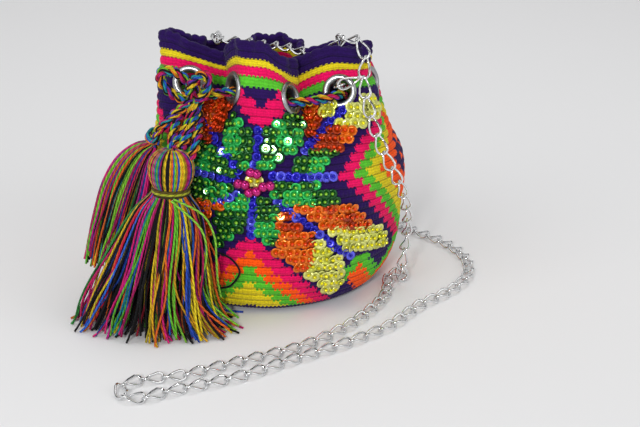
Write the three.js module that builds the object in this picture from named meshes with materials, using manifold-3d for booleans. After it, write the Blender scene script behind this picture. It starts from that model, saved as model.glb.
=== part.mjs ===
// A small crocheted bucket bag: a round shell gathered by a drawstring through eyelets, two tassels,
// a field of sequins sewn on the front, and a chain strap that hangs down one side and lies on the floor.
// Millimetres, +Z up. The origin is the middle of the base, on the floor. The front faces -Y.

import * as THREE from 'three';
import { mergeVertices } from 'three/addons/utils/BufferGeometryUtils.js';
import Module from 'manifold-3d';

const wasm = await Module();
wasm.setup();

// Shell
const BAG_HEIGHT = 148; // level of the rim before the mouth leans
const BASE_RADIUS = 60; // flat part of the base
const FOOT_RADIUS = 75.5; // where the rounded foot turns into the wall
const FOOT_HEIGHT = 20;
const BELLY_RADIUS = 77.5;
const BELLY_LEVEL = 50;
const SHOULDER_RADIUS = 77;
const SHOULDER_DROP = 68; // below the rim
const NECK_RADIUS = 56; // mean radius at the eyelets
const RIM_RADIUS = 55;
const WALL = 3.2;
const RIM_CROWN = 1.2; // height of the rounded edge over the rim level
const SEGMENTS = 48;

// Gathers and lean of the soft mouth
const LOBES = 6;
const GATHER_DEPTH = 13;
const FOLD_CREASE = 1.2; // nearer to 1 makes sharper creases between round bulges
const GATHER_DROP = 66; // the folds begin this far below the rim
const GATHER_FADE = 40; // height over which the folds grow to full depth
const MOUTH_FLATTENING = 0.12; // share of depth that the mouth loses from front to back
const FRONT_LIFT = 10; // the front of the mouth stands this much higher than its middle
const SIDE_LEAN = 3.3; // the mouth falls this much to +X
const VALLEY_DROP = 3; // the rim dips in each fold
const SLUMPS = [[25, 14, 13], [-29, 7, 12]]; // angle, extra dip and width of the deepest folds
const RIM_FALLS = [[85, 3, 45], [-115, 6, 35], [180, 2.5, 40]]; // the same for the edge over the eyelets
const BELLY_SHIFT = 5; // the belly leans to +X at mid height

// Eyelets
const EYELETS = 2 * LOBES;
const EYELET_DROP = 24; // centre below the rim
const EYELET_BORE = 12;
const EYELET_DIAMETER = 19.2;
const EYELET_CROWN = 1.5;
const BARREL_WALL = 0.6;
const WASHER_THICKNESS = 0.9;
const EYELET_SIDES = 12;

// Drawstring, bow and tassels
const CORD_DIAMETER = 5;
const CORD_SAG = 2; // the cord lies this far below the middle of the eyelets
const CORD_SWING = 3.4; // in at the bulges, out at the folds
const CORD_SIDES = 8;
const CORD_STEPS = 66;
const CORD_TURN = 0.55; // share of an eyelet's axis in the way the cord goes through it
const KNOT_SIZE = [8, 6.5, 8];
const KNOT_ANGLE = -42;
const KNOT_DROP = 9; // knot centre below the eyelets
const KNOT_OUT = 10; // knot centre off the wall
const LOOP_STEPS = 9;
const TAIL_STEPS = 9;
const HEAD_SIDES = 12;
const SKIRT_SIDES = 24;
const SKIRT_ROWS = 6;
const SKIRT_FLARE = 0.8; // below 1 the skirt widens early
const STRAND_RIDGE = 0.07; // share of the skirt's width that its strands stand out
const BINDING_THICKNESS = 1.6;
const BINDING_HEIGHT = 4;

// Strap chain
const LINK_LENGTH = 12;
const LINK_WIDTH = 7.4;
const LINK_WIRE = 1.5;
const LINK_BITE = 0.35; // how far two linked wires are pressed together
const LINK_LIFT = 0.1; // room under the links that lie on the floor
const TIE_ANGLE = 45; // the eyelet that the strap is tied to
const TIE_RISE = 2.9; // the tie lies this far above the middle of its eyelet
const LINK_ROLL = 40; // degrees that each link is turned about the chain, left and right by turns

// Sewn sequins
const SEQUIN_GAP = 0.9;
const SEQUIN_THICKNESS = 0.9;
const VEIN_WIDTH = 5;
const VEIN_GAP = 0.8; // between the fields and the veins over them
const VEIN_HUB = 10; // half the side of the plate that joins the veins
const HUB_INSET = 0.2; // the plate is this much thinner than the veins, above and below
const PEARL_DIAMETER = 5.2;
const FLOWER_ANGLE = -2; // middle of the flower
const FLOWER_MARGIN = 4.9; // between its top and the eyelets
const FLOWER_FOOT = 11.5; // level of its lowest sequins
const FLOWER_RISE = 30; // drawn height over its middle, which sets the scale of its fields
const FLOWER_FALL = 68; // drawn depth below its middle
const FIELD_EDGE = 7.5; // longest edge of a sewn field's facets

const GAP = 0.3; // clearance between pieces that touch

const rad = THREE.MathUtils.degToRad;
const smooth = (from, to, value) => THREE.MathUtils.smoothstep(value, from, to);

// Wall surface

const profile = new THREE.CatmullRomCurve3([
  new THREE.Vector3(BASE_RADIUS, 0, 0),
  new THREE.Vector3((BASE_RADIUS + FOOT_RADIUS) / 2, 0, FOOT_HEIGHT / 4),
  new THREE.Vector3(FOOT_RADIUS, 0, FOOT_HEIGHT),
  new THREE.Vector3(BELLY_RADIUS, 0, BELLY_LEVEL),
  new THREE.Vector3(SHOULDER_RADIUS, 0, BAG_HEIGHT - SHOULDER_DROP),
  new THREE.Vector3(NECK_RADIUS, 0, BAG_HEIGHT - EYELET_DROP),
  new THREE.Vector3(RIM_RADIUS, 0, BAG_HEIGHT),
], false, 'centripetal').getPoints(240);

function profileRadius(level) {
  let i = 1;
  while (i < profile.length - 1 && profile[i].z < level) {
    i += 1;
  }
  const [a, b] = [profile[i - 1], profile[i]];
  return THREE.MathUtils.mapLinear(level, a.z, b.z, a.x, b.x);
}

// Sum of rounded dips round the mouth, at an angle in degrees
function dips(list, angle) {
  return list.reduce((sum, [middle, depth, width]) => {
    const away = THREE.MathUtils.euclideanModulo(angle - middle + 180, 360) - 180;
    return sum + depth * Math.exp(-((away / width) ** 2));
  }, 0);
}

// Point of the outer wall at an angle in degrees from the front and a level up the wall
function wallPoint(angle, level) {
  const turn = rad(angle);
  const wave = 2 * Math.abs(Math.cos((LOBES / 2) * turn)) ** FOLD_CREASE - 1;
  const foldStart = BAG_HEIGHT - GATHER_DROP;
  const fold = smooth(foldStart, foldStart + GATHER_FADE, level);
  const loose = smooth(foldStart, BAG_HEIGHT, level);
  const radius = profileRadius(level) + GATHER_DEPTH * fold * wave;
  const share = level / BAG_HEIGHT;
  const edge = smooth(BAG_HEIGHT - EYELET_DROP, BAG_HEIGHT, level);
  const dip = loose * (VALLEY_DROP * (1 - wave) / 2 + dips(SLUMPS, angle)) + edge * dips(RIM_FALLS, angle);
  const lean = share * (FRONT_LIFT * Math.cos(turn) - SIDE_LEAN * Math.sin(turn));
  return new THREE.Vector3(
    radius * Math.sin(turn) + BELLY_SHIFT * Math.sin(Math.PI * Math.min(share, 1)),
    -radius * Math.cos(turn) * (1 - MOUTH_FLATTENING * loose),
    level + lean - dip,
  );
}

function wallNormal(angle, level) {
  const step = 0.05;
  const across = wallPoint(angle + step, level).sub(wallPoint(angle - step, level));
  const up = wallPoint(angle, level + step).sub(wallPoint(angle, Math.max(level - step, 0)));
  return across.cross(up).normalize();
}

function wallOffset(angle, level, out) {
  return wallPoint(angle, level).addScaledVector(wallNormal(angle, level), out);
}

// Solids

function indexed(geometry) {
  const plain = geometry.clone();
  plain.deleteAttribute('normal');
  plain.deleteAttribute('uv');
  return mergeVertices(plain, 1e-4);
}

function solid(geometry) {
  const clean = indexed(geometry);
  return new wasm.Manifold(new wasm.Mesh({
    numProp: 3,
    vertProperties: new Float32Array(clean.attributes.position.array),
    triVerts: new Uint32Array(clean.index.array),
  }));
}

function fromSolid(body) {
  const mesh = body.getMesh();
  const geometry = new THREE.BufferGeometry();
  geometry.setAttribute('position', new THREE.BufferAttribute(new Float32Array(mesh.vertProperties), 3));
  geometry.setIndex(new THREE.BufferAttribute(new Uint32Array(mesh.triVerts), 1));
  return geometry;
}

function join(solids) {
  let layer = solids;
  while (layer.length > 1) {
    const next = [];
    for (let i = 0; i < layer.length; i += 2) {
      next.push(i + 1 < layer.length ? layer[i].add(layer[i + 1]) : layer[i]);
    }
    layer = next;
  }
  return layer[0];
}

// Closed skin over rings of equal length, with a middle point closing each end
function skin(rings, first, last) {
  const points = [first, ...rings.flat(), last];
  const count = rings[0].length;
  const faces = [];
  const end = points.length - 1;
  const row = (r, i) => 1 + r * count + (i % count);
  for (let i = 0; i < count; i += 1) {
    faces.push(0, row(0, i + 1), row(0, i));
    for (let r = 0; r + 1 < rings.length; r += 1) {
      faces.push(row(r, i), row(r, i + 1), row(r + 1, i));
      faces.push(row(r, i + 1), row(r + 1, i + 1), row(r + 1, i));
    }
    faces.push(row(rings.length - 1, i), row(rings.length - 1, i + 1), end);
  }
  const geometry = new THREE.BufferGeometry().setFromPoints(points);
  geometry.setIndex(faces);
  return geometry;
}

function tube(points, diameter, steps, sides) {
  const section = new THREE.Shape();
  for (let i = 0; i < sides; i += 1) {
    const turn = (2 * Math.PI * i) / sides;
    const x = (diameter / 2) * Math.cos(turn);
    const y = (diameter / 2) * Math.sin(turn);
    if (i === 0) {
      section.moveTo(x, y);
    } else {
      section.lineTo(x, y);
    }
  }
  section.closePath();
  const path = new THREE.CatmullRomCurve3(points, false, 'centripetal');
  return new THREE.ExtrudeGeometry(section, { steps, bevelEnabled: false, extrudePath: path });
}

function lathe(outline, sides) {
  return new THREE.LatheGeometry(outline.map(([r, h]) => new THREE.Vector2(r, h)), sides);
}

// Turns a lathe's axis from +Y to a direction and moves it to a point
function placed(geometry, origin, axis) {
  const turn = new THREE.Quaternion().setFromUnitVectors(new THREE.Vector3(0, 1, 0), axis);
  return geometry.clone().applyQuaternion(turn).translate(origin.x, origin.y, origin.z);
}

const group = new THREE.Group();

function addPart(name, geometry, color, roughness, metalness = 0) {
  const material = new THREE.MeshStandardMaterial({ color, roughness, metalness });
  const mesh = new THREE.Mesh(geometry, material);
  mesh.name = name;
  group.add(mesh);
}

// Eyelet frames: the middle of the wall at each eyelet and the way out of the bag

const eyeletLevel = BAG_HEIGHT - EYELET_DROP;
const eyeletFrames = [];
for (let i = 0; i < EYELETS; i += 1) {
  const angle = (360 / EYELETS) * (i + 0.5) - 180;
  eyeletFrames.push({
    angle,
    origin: wallOffset(angle, eyeletLevel, -WALL / 2),
    axis: wallNormal(angle, eyeletLevel),
  });
}
const seat = WALL / 2 + GAP;
const boreRadius = EYELET_BORE / 2;
const barrelRadius = boreRadius + BARREL_WALL;
const flangeRadius = EYELET_DIAMETER / 2;

// Crocheted shell

function shell() {
  const angles = Array.from({ length: SEGMENTS }, (_, i) => (360 / SEGMENTS) * i - 180);
  const foldStart = BAG_HEIGHT - GATHER_DROP;
  const foot = [0, 0.12, 0.3, 0.6, 1].map((share) => share * FOOT_HEIGHT);
  const belly = [0.25, 0.5, 0.75, 1].map((share) => THREE.MathUtils.lerp(FOOT_HEIGHT, foldStart, share));
  const folds = [0.17, 0.33, 0.47, 0.58, 0.68, 0.78, 0.9, 1]
    .map((share) => THREE.MathUtils.lerp(foldStart, BAG_HEIGHT, share));
  const outer = [...foot, ...belly, ...folds];
  const inner = [...folds.filter((_, i) => i % 2 === 1), belly[0], belly[2], FOOT_HEIGHT, foot[2]]
    .sort((a, b) => b - a);
  const rings = outer.map((level) => angles.map((angle) => wallPoint(angle, level)));
  rings.push(angles.map((angle) => {
    const top = wallOffset(angle, BAG_HEIGHT, -WALL / 2);
    return top.setZ(top.z + RIM_CROWN);
  }));
  for (const level of inner) {
    rings.push(angles.map((angle) => wallOffset(angle, level, -WALL)));
  }
  rings.push(angles.map((angle) => wallPoint(angle, 0).multiplyScalar(0.95).setZ(WALL)));
  let body = solid(skin(rings, new THREE.Vector3(), new THREE.Vector3(0, 0, WALL)));
  const deep = 2 * WALL + GATHER_DEPTH / 2;
  const spool = lathe([
    [0, -deep],
    [flangeRadius + GAP, -deep],
    [flangeRadius + GAP, -WALL / 2],
    [barrelRadius + GAP, -WALL / 2],
    [barrelRadius + GAP, WALL / 2],
    [flangeRadius + GAP, WALL / 2],
    [flangeRadius + GAP, deep],
    [0, deep],
  ], EYELET_SIDES);
  for (const { origin, axis } of eyeletFrames) {
    body = body.subtract(solid(placed(spool, origin, axis)));
  }
  return fromSolid(body);
}

addPart('bag_body', shell(), 0x2a0f5b, 0.95);

// Pressed metal eyelets, each with the washer that it is set on

const back = seat + WASHER_THICKNESS + GAP;
const eyelet = lathe([
  [boreRadius, -back],
  [barrelRadius, -back],
  [barrelRadius, seat],
  [flangeRadius, seat],
  [flangeRadius - 0.5, seat + EYELET_CROWN * 0.6],
  [(barrelRadius + flangeRadius) / 2, seat + EYELET_CROWN],
  [boreRadius, seat + EYELET_CROWN * 0.5],
  [boreRadius, -back],
], EYELET_SIDES);
const washer = lathe([
  [barrelRadius + GAP, -seat - WASHER_THICKNESS],
  [flangeRadius, -seat - WASHER_THICKNESS],
  [flangeRadius, -seat],
  [barrelRadius + GAP, -seat],
  [barrelRadius + GAP, -seat - WASHER_THICKNESS],
], EYELET_SIDES);
eyeletFrames.forEach(({ origin, axis }, i) => {
  addPart(`eyelet_${i + 1}`, placed(eyelet, origin, axis), 0xc9ccd0, 0.25, 1);
  addPart(`eyelet_washer_${i + 1}`, placed(washer, origin, axis), 0xb4b7bb, 0.35, 1);
});

// Drawstring, knot, bow loops and tails

const cordColor = 0xd8a82e;
const knotCentre = wallOffset(KNOT_ANGLE, eyeletLevel - KNOT_DROP, KNOT_OUT);
const knotShape = new THREE.SphereGeometry(1, HEAD_SIDES, CORD_SIDES);
function knotSolid(extra) {
  const [x, y, z] = KNOT_SIZE.map((size) => size + extra);
  const grown = knotShape.clone().scale(x, y, z).translate(knotCentre.x, knotCentre.y, knotCentre.z);
  return solid(grown);
}

// From the knot through every eyelet and back: it bows in behind each bulge and out over each fold
const firstEyelet = eyeletFrames.findIndex(({ angle }) => angle > KNOT_ANGLE);
const cordEyelets = eyeletFrames.map((_, i) => {
  const { angle, origin, axis } = eyeletFrames[(firstEyelet + i) % EYELETS];
  return { angle, axis, point: origin.clone().setZ(origin.z - CORD_SAG) };
});

// Middle of the stretch between two eyelets
function cordMiddle(from, to) {
  const angle = from.angle + 180 / EYELETS;
  const out = new THREE.Vector3(Math.sin(rad(angle)), -Math.cos(rad(angle)), 0);
  const swing = -CORD_SWING * Math.cos(LOBES * rad(angle));
  return from.point.clone().lerp(to.point, 0.5).addScaledVector(out, swing);
}

const drawstringPoints = [knotCentre.clone()];
cordEyelets.forEach((here, i) => {
  const before = i > 0 ? cordMiddle(cordEyelets[i - 1], here) : knotCentre;
  const after = i + 1 < EYELETS ? cordMiddle(here, cordEyelets[i + 1]) : knotCentre;
  const along = after.clone().sub(before).normalize();
  const through = here.axis.clone().multiplyScalar(Math.sign(here.axis.dot(along)));
  const way = along.lerp(through, CORD_TURN).normalize().multiplyScalar(CORD_DIAMETER);
  drawstringPoints.push(here.point.clone().sub(way), here.point, here.point.clone().add(way));
  if (i + 1 < EYELETS) {
    drawstringPoints.push(after);
  }
});
drawstringPoints.push(knotCentre.clone());

// A length of cord, dented where it is pressed against the knot and the cords laid before it
const cordRooms = [knotSolid(GAP)];
function cord(points, steps) {
  const piece = cordRooms.reduce(
    (rest, room) => rest.subtract(room),
    solid(tube(points, CORD_DIAMETER, steps, CORD_SIDES)),
  );
  cordRooms.push(solid(tube(points, CORD_DIAMETER + 2 * GAP, steps, CORD_SIDES)));
  return fromSolid(piece);
}
addPart('drawstring', cord(drawstringPoints, CORD_STEPS), cordColor, 0.9);
addPart('drawstring_knot', knotShape.clone().scale(...KNOT_SIZE)
  .translate(knotCentre.x, knotCentre.y, knotCentre.z), cordColor, 0.9);

// A loop of the bow: an oval that leaves the knot at an angle to +X, seen from the front, and comes back
function bowLoop(angle, length, width, out) {
  const points = [];
  const along = new THREE.Vector3(Math.cos(rad(angle)), 0, Math.sin(rad(angle)));
  const across = new THREE.Vector3(-along.z, 0, along.x);
  for (let i = 0; i <= LOOP_STEPS; i += 1) {
    const turn = (2 * Math.PI * i) / LOOP_STEPS;
    const point = knotCentre.clone();
    point.addScaledVector(along, length * (1 - Math.cos(turn)) / 2);
    point.addScaledVector(across, (width / 2) * Math.sin(turn));
    point.y -= out * Math.sin(turn / 2);
    points.push(point);
  }
  return cord(points, 2 * LOOP_STEPS);
}
addPart('bow_loop_left', bowLoop(136, 23, 14, 5), cordColor, 0.9);
addPart('bow_loop_right', bowLoop(62, 18, 9, 11), cordColor, 0.9);

// Tassels: a tied bundle of strands with a round head, a binding at its neck and a spread skirt

// Skirt of a tassel: ridged rings that widen from its neck to the ends of its strands
function skirt(neck, axis, spread, width) {
  const rings = [];
  const out = new THREE.Vector3(Math.sin(rad(spread.facing)), -Math.cos(rad(spread.facing)), 0);
  const across = new THREE.Vector3(out.y, -out.x, 0);
  for (let r = 0; r <= SKIRT_ROWS; r += 1) {
    const share = r / SKIRT_ROWS;
    const flare = share ** SKIRT_FLARE;
    const centre = neck.clone().lerp(spread.centre, share);
    centre.addScaledVector(out, spread.bow * Math.sin(Math.PI * share));
    const half = THREE.MathUtils.lerp(width / 2, spread.width / 2, flare);
    const deep = THREE.MathUtils.lerp(width / 2, spread.depth / 2, flare);
    const ring = [];
    for (let i = 0; i < SKIRT_SIDES; i += 1) {
      const turn = (2 * Math.PI * i) / SKIRT_SIDES;
      const ridge = 1 + STRAND_RIDGE * share * (i % 2 ? -1 : 1);
      const reach = across.clone().multiplyScalar(half * ridge * Math.cos(turn))
        .addScaledVector(out, deep * ridge * Math.sin(turn));
      reach.addScaledVector(axis, -(1 - share) * reach.dot(axis));
      ring.push(centre.clone().add(reach));
    }
    rings.push(ring);
  }
  return skin(rings.reverse(), spread.centre.clone(), neck.clone());
}

function tassel(name, { top, neck, spread, headWidth, neckWidth, tailPoints }) {
  const axis = top.clone().sub(neck);
  const length = axis.length();
  axis.normalize();
  const neckRadius = neckWidth / 2;
  const half = headWidth / 2;
  const headOutline = (extra) => [
    [0, -extra],
    [neckRadius + extra, -extra],
    [neckRadius + extra, BINDING_HEIGHT + GAP],
    [half * 0.86 + extra, BINDING_HEIGHT + 0.2 * length],
    [half + extra, BINDING_HEIGHT + 0.42 * length],
    [half * 0.78 + extra, 0.86 * length],
    [half * 0.4 + extra, length + extra],
    [0, length + extra],
  ];
  const head = placed(lathe(headOutline(0), HEAD_SIDES), neck, axis);
  cordRooms.push(solid(placed(lathe(headOutline(GAP), HEAD_SIDES), neck, axis)));
  const binding = placed(lathe([
    [neckRadius + GAP, 0],
    [neckRadius + GAP + BINDING_THICKNESS, 0.3 * BINDING_HEIGHT],
    [neckRadius + GAP + BINDING_THICKNESS, 0.7 * BINDING_HEIGHT],
    [neckRadius + GAP, BINDING_HEIGHT],
    [neckRadius + GAP, 0],
  ], HEAD_SIDES), neck, axis);
  const below = neck.clone().addScaledVector(axis, -2 * GAP);
  addPart(`${name}_head`, head, 0xc23a5e, 0.9);
  addPart(`${name}_binding`, binding, 0x8a8a2a, 0.9);
  addPart(`${name}_skirt`, skirt(below, axis, spread, neckWidth), 0xb8406a, 0.9);
  const tail = cord([knotCentre.clone(), ...tailPoints, top.clone()], TAIL_STEPS);
  addPart(`${name}_tail`, tail, cordColor, 0.9);
}

// Places round the bag: off the wall at a drop below the rim or at a level, or on the floor clear of the bag

const belowRim = (angle, drop, out) => wallOffset(angle, BAG_HEIGHT - drop, out);
const widest = Math.max(FOOT_RADIUS, BELLY_RADIUS, SHOULDER_RADIUS);
function onGround(angle, out, level) {
  const reach = widest + out;
  return new THREE.Vector3(reach * Math.sin(rad(angle)), -reach * Math.cos(rad(angle)), level);
}

tassel('tassel_front', {
  top: belowRim(-32.6, 61.6, 21),
  neck: belowRim(-32.6, 75.6, 17),
  spread: { centre: onGround(-31, 33.3, 0), facing: -6, width: 92, depth: 42, bow: 4 },
  headWidth: 24,
  neckWidth: 16,
  tailPoints: [belowRim(-37.2, 49.6, 13)],
});
tassel('tassel_rear', {
  top: belowRim(-52.2, 54.4, 9.8),
  neck: belowRim(-64.8, 64.4, 11.8),
  spread: { centre: onGround(-64, 28, 18), facing: -64, width: 44, depth: 32, bow: 10 },
  headWidth: 16,
  neckWidth: 11,
  tailPoints: [belowRim(-47, 45, 10)],
});

// Strap chain: a closed loop over the right of the rim, across the mouth, over the back of the rim, down to
// the floor behind, round the front in two runs and up the right side, with a short tie through an eyelet

const linkPitch = LINK_LENGTH - 2 * LINK_WIRE + LINK_BITE;
const floorLevel = (LINK_WIDTH / 2) * Math.sin(rad(LINK_ROLL)) + LINK_WIRE / 2 + LINK_LIFT;
const onFloor = (angle, out, raised = 0) => onGround(angle, out, floorLevel + raised);

// The stretch across the mouth hangs between the two sides of the rim
const mouthBack = belowRim(-140.7, -5, -4.6);
const mouthFront = belowRim(49.1, -5.7, -7.8);
function acrossMouth(share, sag, aside) {
  const point = mouthBack.clone().lerp(mouthFront, share);
  return point.add(new THREE.Vector3(aside, aside, -sag));
}
const chainRoute = [
  belowRim(55.5, -6.5, -0.8), belowRim(56.2, 2.4, 5.3), belowRim(54.6, 10.2, 6.3), belowRim(53.5, 20.6, 6.1),
  belowRim(52.8, 32.9, 5.3), belowRim(52.7, 44.1, 6.3), belowRim(53, 55.7, 7.2), belowRim(55.3, 66.1, 7.7),
  wallOffset(60.5, 70.2, 8.3), wallOffset(66.4, 56.6, 9.5), wallOffset(71.1, 42.6, 8.9),
  wallOffset(74.4, 29.4, 8.4), wallOffset(74.9, 18, 10),
  onFloor(74.7, 9.6), onFloor(83.9, 7), onFloor(82.6, 0.1, 1), onFloor(70.9, 1.9), onFloor(60.4, 7.6),
  onFloor(44.1, 14.4), onFloor(27.8, 25.4), onFloor(13.6, 37.7), onFloor(2.7, 47.6), onFloor(-5.5, 59.1),
  onFloor(-12.9, 74.4), onFloor(-18.3, 82), onFloor(-21.2, 90.9), onFloor(-19.5, 101.8), onFloor(-15.9, 101.3),
  onFloor(-13, 91.3), onFloor(-6.6, 78.5), onFloor(0.8, 66.5), onFloor(9.2, 53.2), onFloor(19.1, 44.7),
  onFloor(29.9, 39), onFloor(43, 35.4), onFloor(59.7, 31.4), onFloor(68.2, 36.7), onFloor(76.5, 42.8),
  onFloor(85.4, 47.9), onFloor(95.5, 48.1), onFloor(104.7, 44.5), onFloor(112.6, 39.5), onFloor(121.7, 33),
  onFloor(135.8, 28.6), onFloor(153.4, 25.4), onFloor(171.9, 21.5), onFloor(-169.2, 18.2),
  onFloor(-155.1, 17.3),
  wallOffset(-144.6, 15.6, 17.8), wallOffset(-140.3, 27.5, 10.3), wallOffset(-139.5, 49.7, 10.7),
  wallOffset(-139.4, 70.7, 10.7), belowRim(-138.5, 61, 15), belowRim(-136.7, 43.6, 19.7),
  belowRim(-135.7, 21.4, 22.2), belowRim(-136.7, 5.2, 18.7), belowRim(-137.5, -4.6, 10.9),
  belowRim(-138.4, -6.2, 3.3), mouthBack, acrossMouth(0.09, 1.6, 1), acrossMouth(0.19, 3, 3),
  acrossMouth(0.38, 5.5, 2), acrossMouth(0.58, 6.5, 1), acrossMouth(0.72, 9.5, 0),
  acrossMouth(0.82, 12, 0), acrossMouth(0.92, 9, 0), mouthFront,
];

// The tie leaves the strap beside an eyelet, goes in over the cord and joins the strap again inside the rim
const tieEyelet = eyeletFrames.find(({ angle }) => angle === TIE_ANGLE);
const tieUp = new THREE.Vector3(0, 0, 1).projectOnPlane(tieEyelet.axis).normalize();
const inTieEyelet = (depth) => tieEyelet.origin.clone()
  .addScaledVector(tieEyelet.axis, depth)
  .addScaledVector(tieUp, TIE_RISE);
const tieStops = [
  belowRim(53.1, 15.8, 8.1), inTieEyelet(linkPitch * 0.7), inTieEyelet(-linkPitch * 0.5),
  belowRim(45.6, 10.6, -9.2), belowRim(45.9, 2.2, -10.6), belowRim(48.2, -5.4, -8.4),
];

// Points along a curve at equal straight steps, with the step set so that the count comes out whole
function steppedPoints(curve, step) {
  const fine = curve.getSpacedPoints(3000);
  const walk = (stride) => {
    const stops = [fine[0]];
    for (const point of fine) {
      if (point.distanceTo(stops[stops.length - 1]) >= stride) {
        stops.push(point);
      }
    }
    return stops;
  };
  const count = 2 * Math.round((walk(step).length - 1) / 2);
  let [low, high] = [0.8 * step, 1.2 * step];
  for (let i = 0; i < 30; i += 1) {
    const middle = (low + high) / 2;
    if (walk(middle).length - 1 >= count) {
      low = middle;
    } else {
      high = middle;
    }
  }
  return walk(low).slice(0, count + 1);
}

// One oval link along +X, bent from a three-sided wire with an edge inwards and straight at both ends
function linkShape() {
  const bends = 6;
  const sides = 3;
  const radius = (LINK_WIDTH - LINK_WIRE) / 2;
  const stretch = (LINK_LENGTH - LINK_WIDTH) / 2;
  const endReach = radius * Math.cos(Math.PI / bends);
  const points = [];
  const faces = [];
  for (let i = 0; i < bends; i += 1) {
    const turn = (2 * Math.PI * (i + 0.5)) / bends;
    const end = Math.sign(Math.round(2 * Math.cos(turn)));
    const along = end * (stretch + radius - endReach);
    for (let j = 0; j < sides; j += 1) {
      const roll = Math.PI + (2 * Math.PI * j) / sides;
      const reach = radius + (LINK_WIRE / 2) * Math.cos(roll);
      const x = along + reach * Math.cos(turn);
      const y = reach * Math.sin(turn);
      points.push(new THREE.Vector3(x, y, (LINK_WIRE / 2) * Math.sin(roll)));
      const [a, b] = [i * sides + j, i * sides + ((j + 1) % sides)];
      const next = sides * bends;
      faces.push(a, (a + sides) % next, b, b, (a + sides) % next, (b + sides) % next);
    }
  }
  const geometry = new THREE.BufferGeometry().setFromPoints(points);
  geometry.setIndex(faces);
  return geometry;
}

function chainLinks(stops, rolls) {
  const shape = linkShape();
  return stops.slice(1).map((stop, i) => {
    const along = stop.clone().sub(stops[i]);
    const middle = stops[i].clone().addScaledVector(along, 0.5);
    const stretch = along.length() / linkPitch;
    along.normalize();
    const outward = middle.clone().setZ(0).normalize().multiplyScalar(Math.abs(along.z));
    const up = new THREE.Vector3(0, 0, 1 - Math.abs(along.z)).add(outward);
    const side = up.cross(along).normalize().applyAxisAngle(along, rad(rolls[i % rolls.length]));
    const frame = new THREE.Matrix4().makeBasis(along, side, along.clone().cross(side)).setPosition(middle);
    return solid(shape.clone().scale(stretch, 1, 1).applyMatrix4(frame));
  });
}

const strapCurve = new THREE.CatmullRomCurve3(chainRoute, true, 'centripetal');
const strap = [
  ...chainLinks(steppedPoints(strapCurve, linkPitch), [LINK_ROLL, -LINK_ROLL]),
  ...chainLinks(tieStops, [90, 0]),
];
addPart('chain_strap', fromSolid(join(strap)), 0xd9dbde, 0.2, 1);

// Sewn flower: thin fields of sequins on the front wall, split by veins, with a ring of pearls in the middle

// The drawn flower fills the height between the foot and the eyelets
const flowerTop = eyeletLevel - flangeRadius - FLOWER_MARGIN;
const flowerHeight = flowerTop - FLOWER_FOOT;
const sewnPoint = ([across, rise], out) => wallOffset(
  FLOWER_ANGLE + THREE.MathUtils.radToDeg(across / BELLY_RADIUS),
  flowerTop + ((rise - FLOWER_RISE) / (FLOWER_RISE + FLOWER_FALL)) * flowerHeight,
  out,
);

// A field between four corners, given in turn from the wall's outside as millimetres right and up
function sewnField(corners, lowOut, thickness = SEQUIN_THICKNESS) {
  const [a, b, c, d] = corners.map(([x, y]) => new THREE.Vector2(x, y));
  const cells = (p, q, r, t) => Math.ceil(Math.max(p.distanceTo(q), r.distanceTo(t)) / FIELD_EDGE);
  const [long, wide] = [cells(a, b, d, c), cells(b, c, a, d)];
  const layer = (out) => {
    const rows = [];
    for (let i = 0; i <= long; i += 1) {
      const [left, right] = [a.clone().lerp(b, i / long), d.clone().lerp(c, i / long)];
      rows.push(Array.from({ length: wide + 1 }, (_, j) => {
        const spot = left.clone().lerp(right, j / wide);
        return sewnPoint([spot.x, spot.y], out);
      }));
    }
    return rows.flat();
  };
  const count = (long + 1) * (wide + 1);
  const place = (i, j) => i * (wide + 1) + j;
  const faces = [];
  const wallOf = (p, q) => faces.push(p, q, q + count, p, q + count, p + count);
  for (let i = 0; i < long; i += 1) {
    for (let j = 0; j < wide; j += 1) {
      const [p, q, r, t] = [place(i, j), place(i + 1, j), place(i + 1, j + 1), place(i, j + 1)];
      faces.push(p, q, r, p, r, t);
      faces.push(p + count, r + count, q + count, p + count, t + count, r + count);
    }
    wallOf(place(i + 1, 0), place(i, 0));
    wallOf(place(i, wide), place(i + 1, wide));
  }
  for (let j = 0; j < wide; j += 1) {
    wallOf(place(0, j), place(0, j + 1));
    wallOf(place(long, j + 1), place(long, j));
  }
  const points = [...layer(lowOut + thickness), ...layer(lowOut)];
  const geometry = new THREE.BufferGeometry().setFromPoints(points);
  geometry.setIndex(faces);
  return geometry;
}

const green = 0x1f8f3c;
const orange = 0xe8540f;
const yellow = 0xdfe04a;
const fields = [
  ['leaf_top', green, [[2.5, 9], [26, 19], [31, 30], [3.5, 27]]],
  ['leaf_side_upper', green, [[7, 5], [45, 4.5], [50, 12], [24, 16]]],
  ['leaf_side_lower', green, [[8, -6.5], [37, -14], [48, -8], [44, 0]]],
  ['leaf_bottom', green, [[2.5, -32], [9, -30], [12, -12.5], [2.5, -9.5]]],
  ['petal_upper_orange', orange, [[29, 16.5], [42, 15], [60, 21], [39, 31]]],
  ['petal_side_orange', orange, [[18, -12.5], [35, -26], [69, -29], [55, -16]]],
  ['petal_low_orange', orange, [[15, -15], [11, -38], [29, -50], [32, -30]]],
  ['petal_side_yellow', yellow, [[40, -29.5], [60, -45], [84, -44], [80, -34]]],
  ['petal_low_yellow', yellow, [[35, -34], [33, -55], [49, -68], [52, -50]]],
];
for (const [name, color, corners] of fields) {
  const mirrored = corners.map(([x, y]) => [-x, y]).reverse();
  addPart(`sequin_${name}_right`, sewnField(corners, SEQUIN_GAP), color, 0.3);
  addPart(`sequin_${name}_left`, sewnField(mirrored, SEQUIN_GAP), color, 0.3);
}

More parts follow.
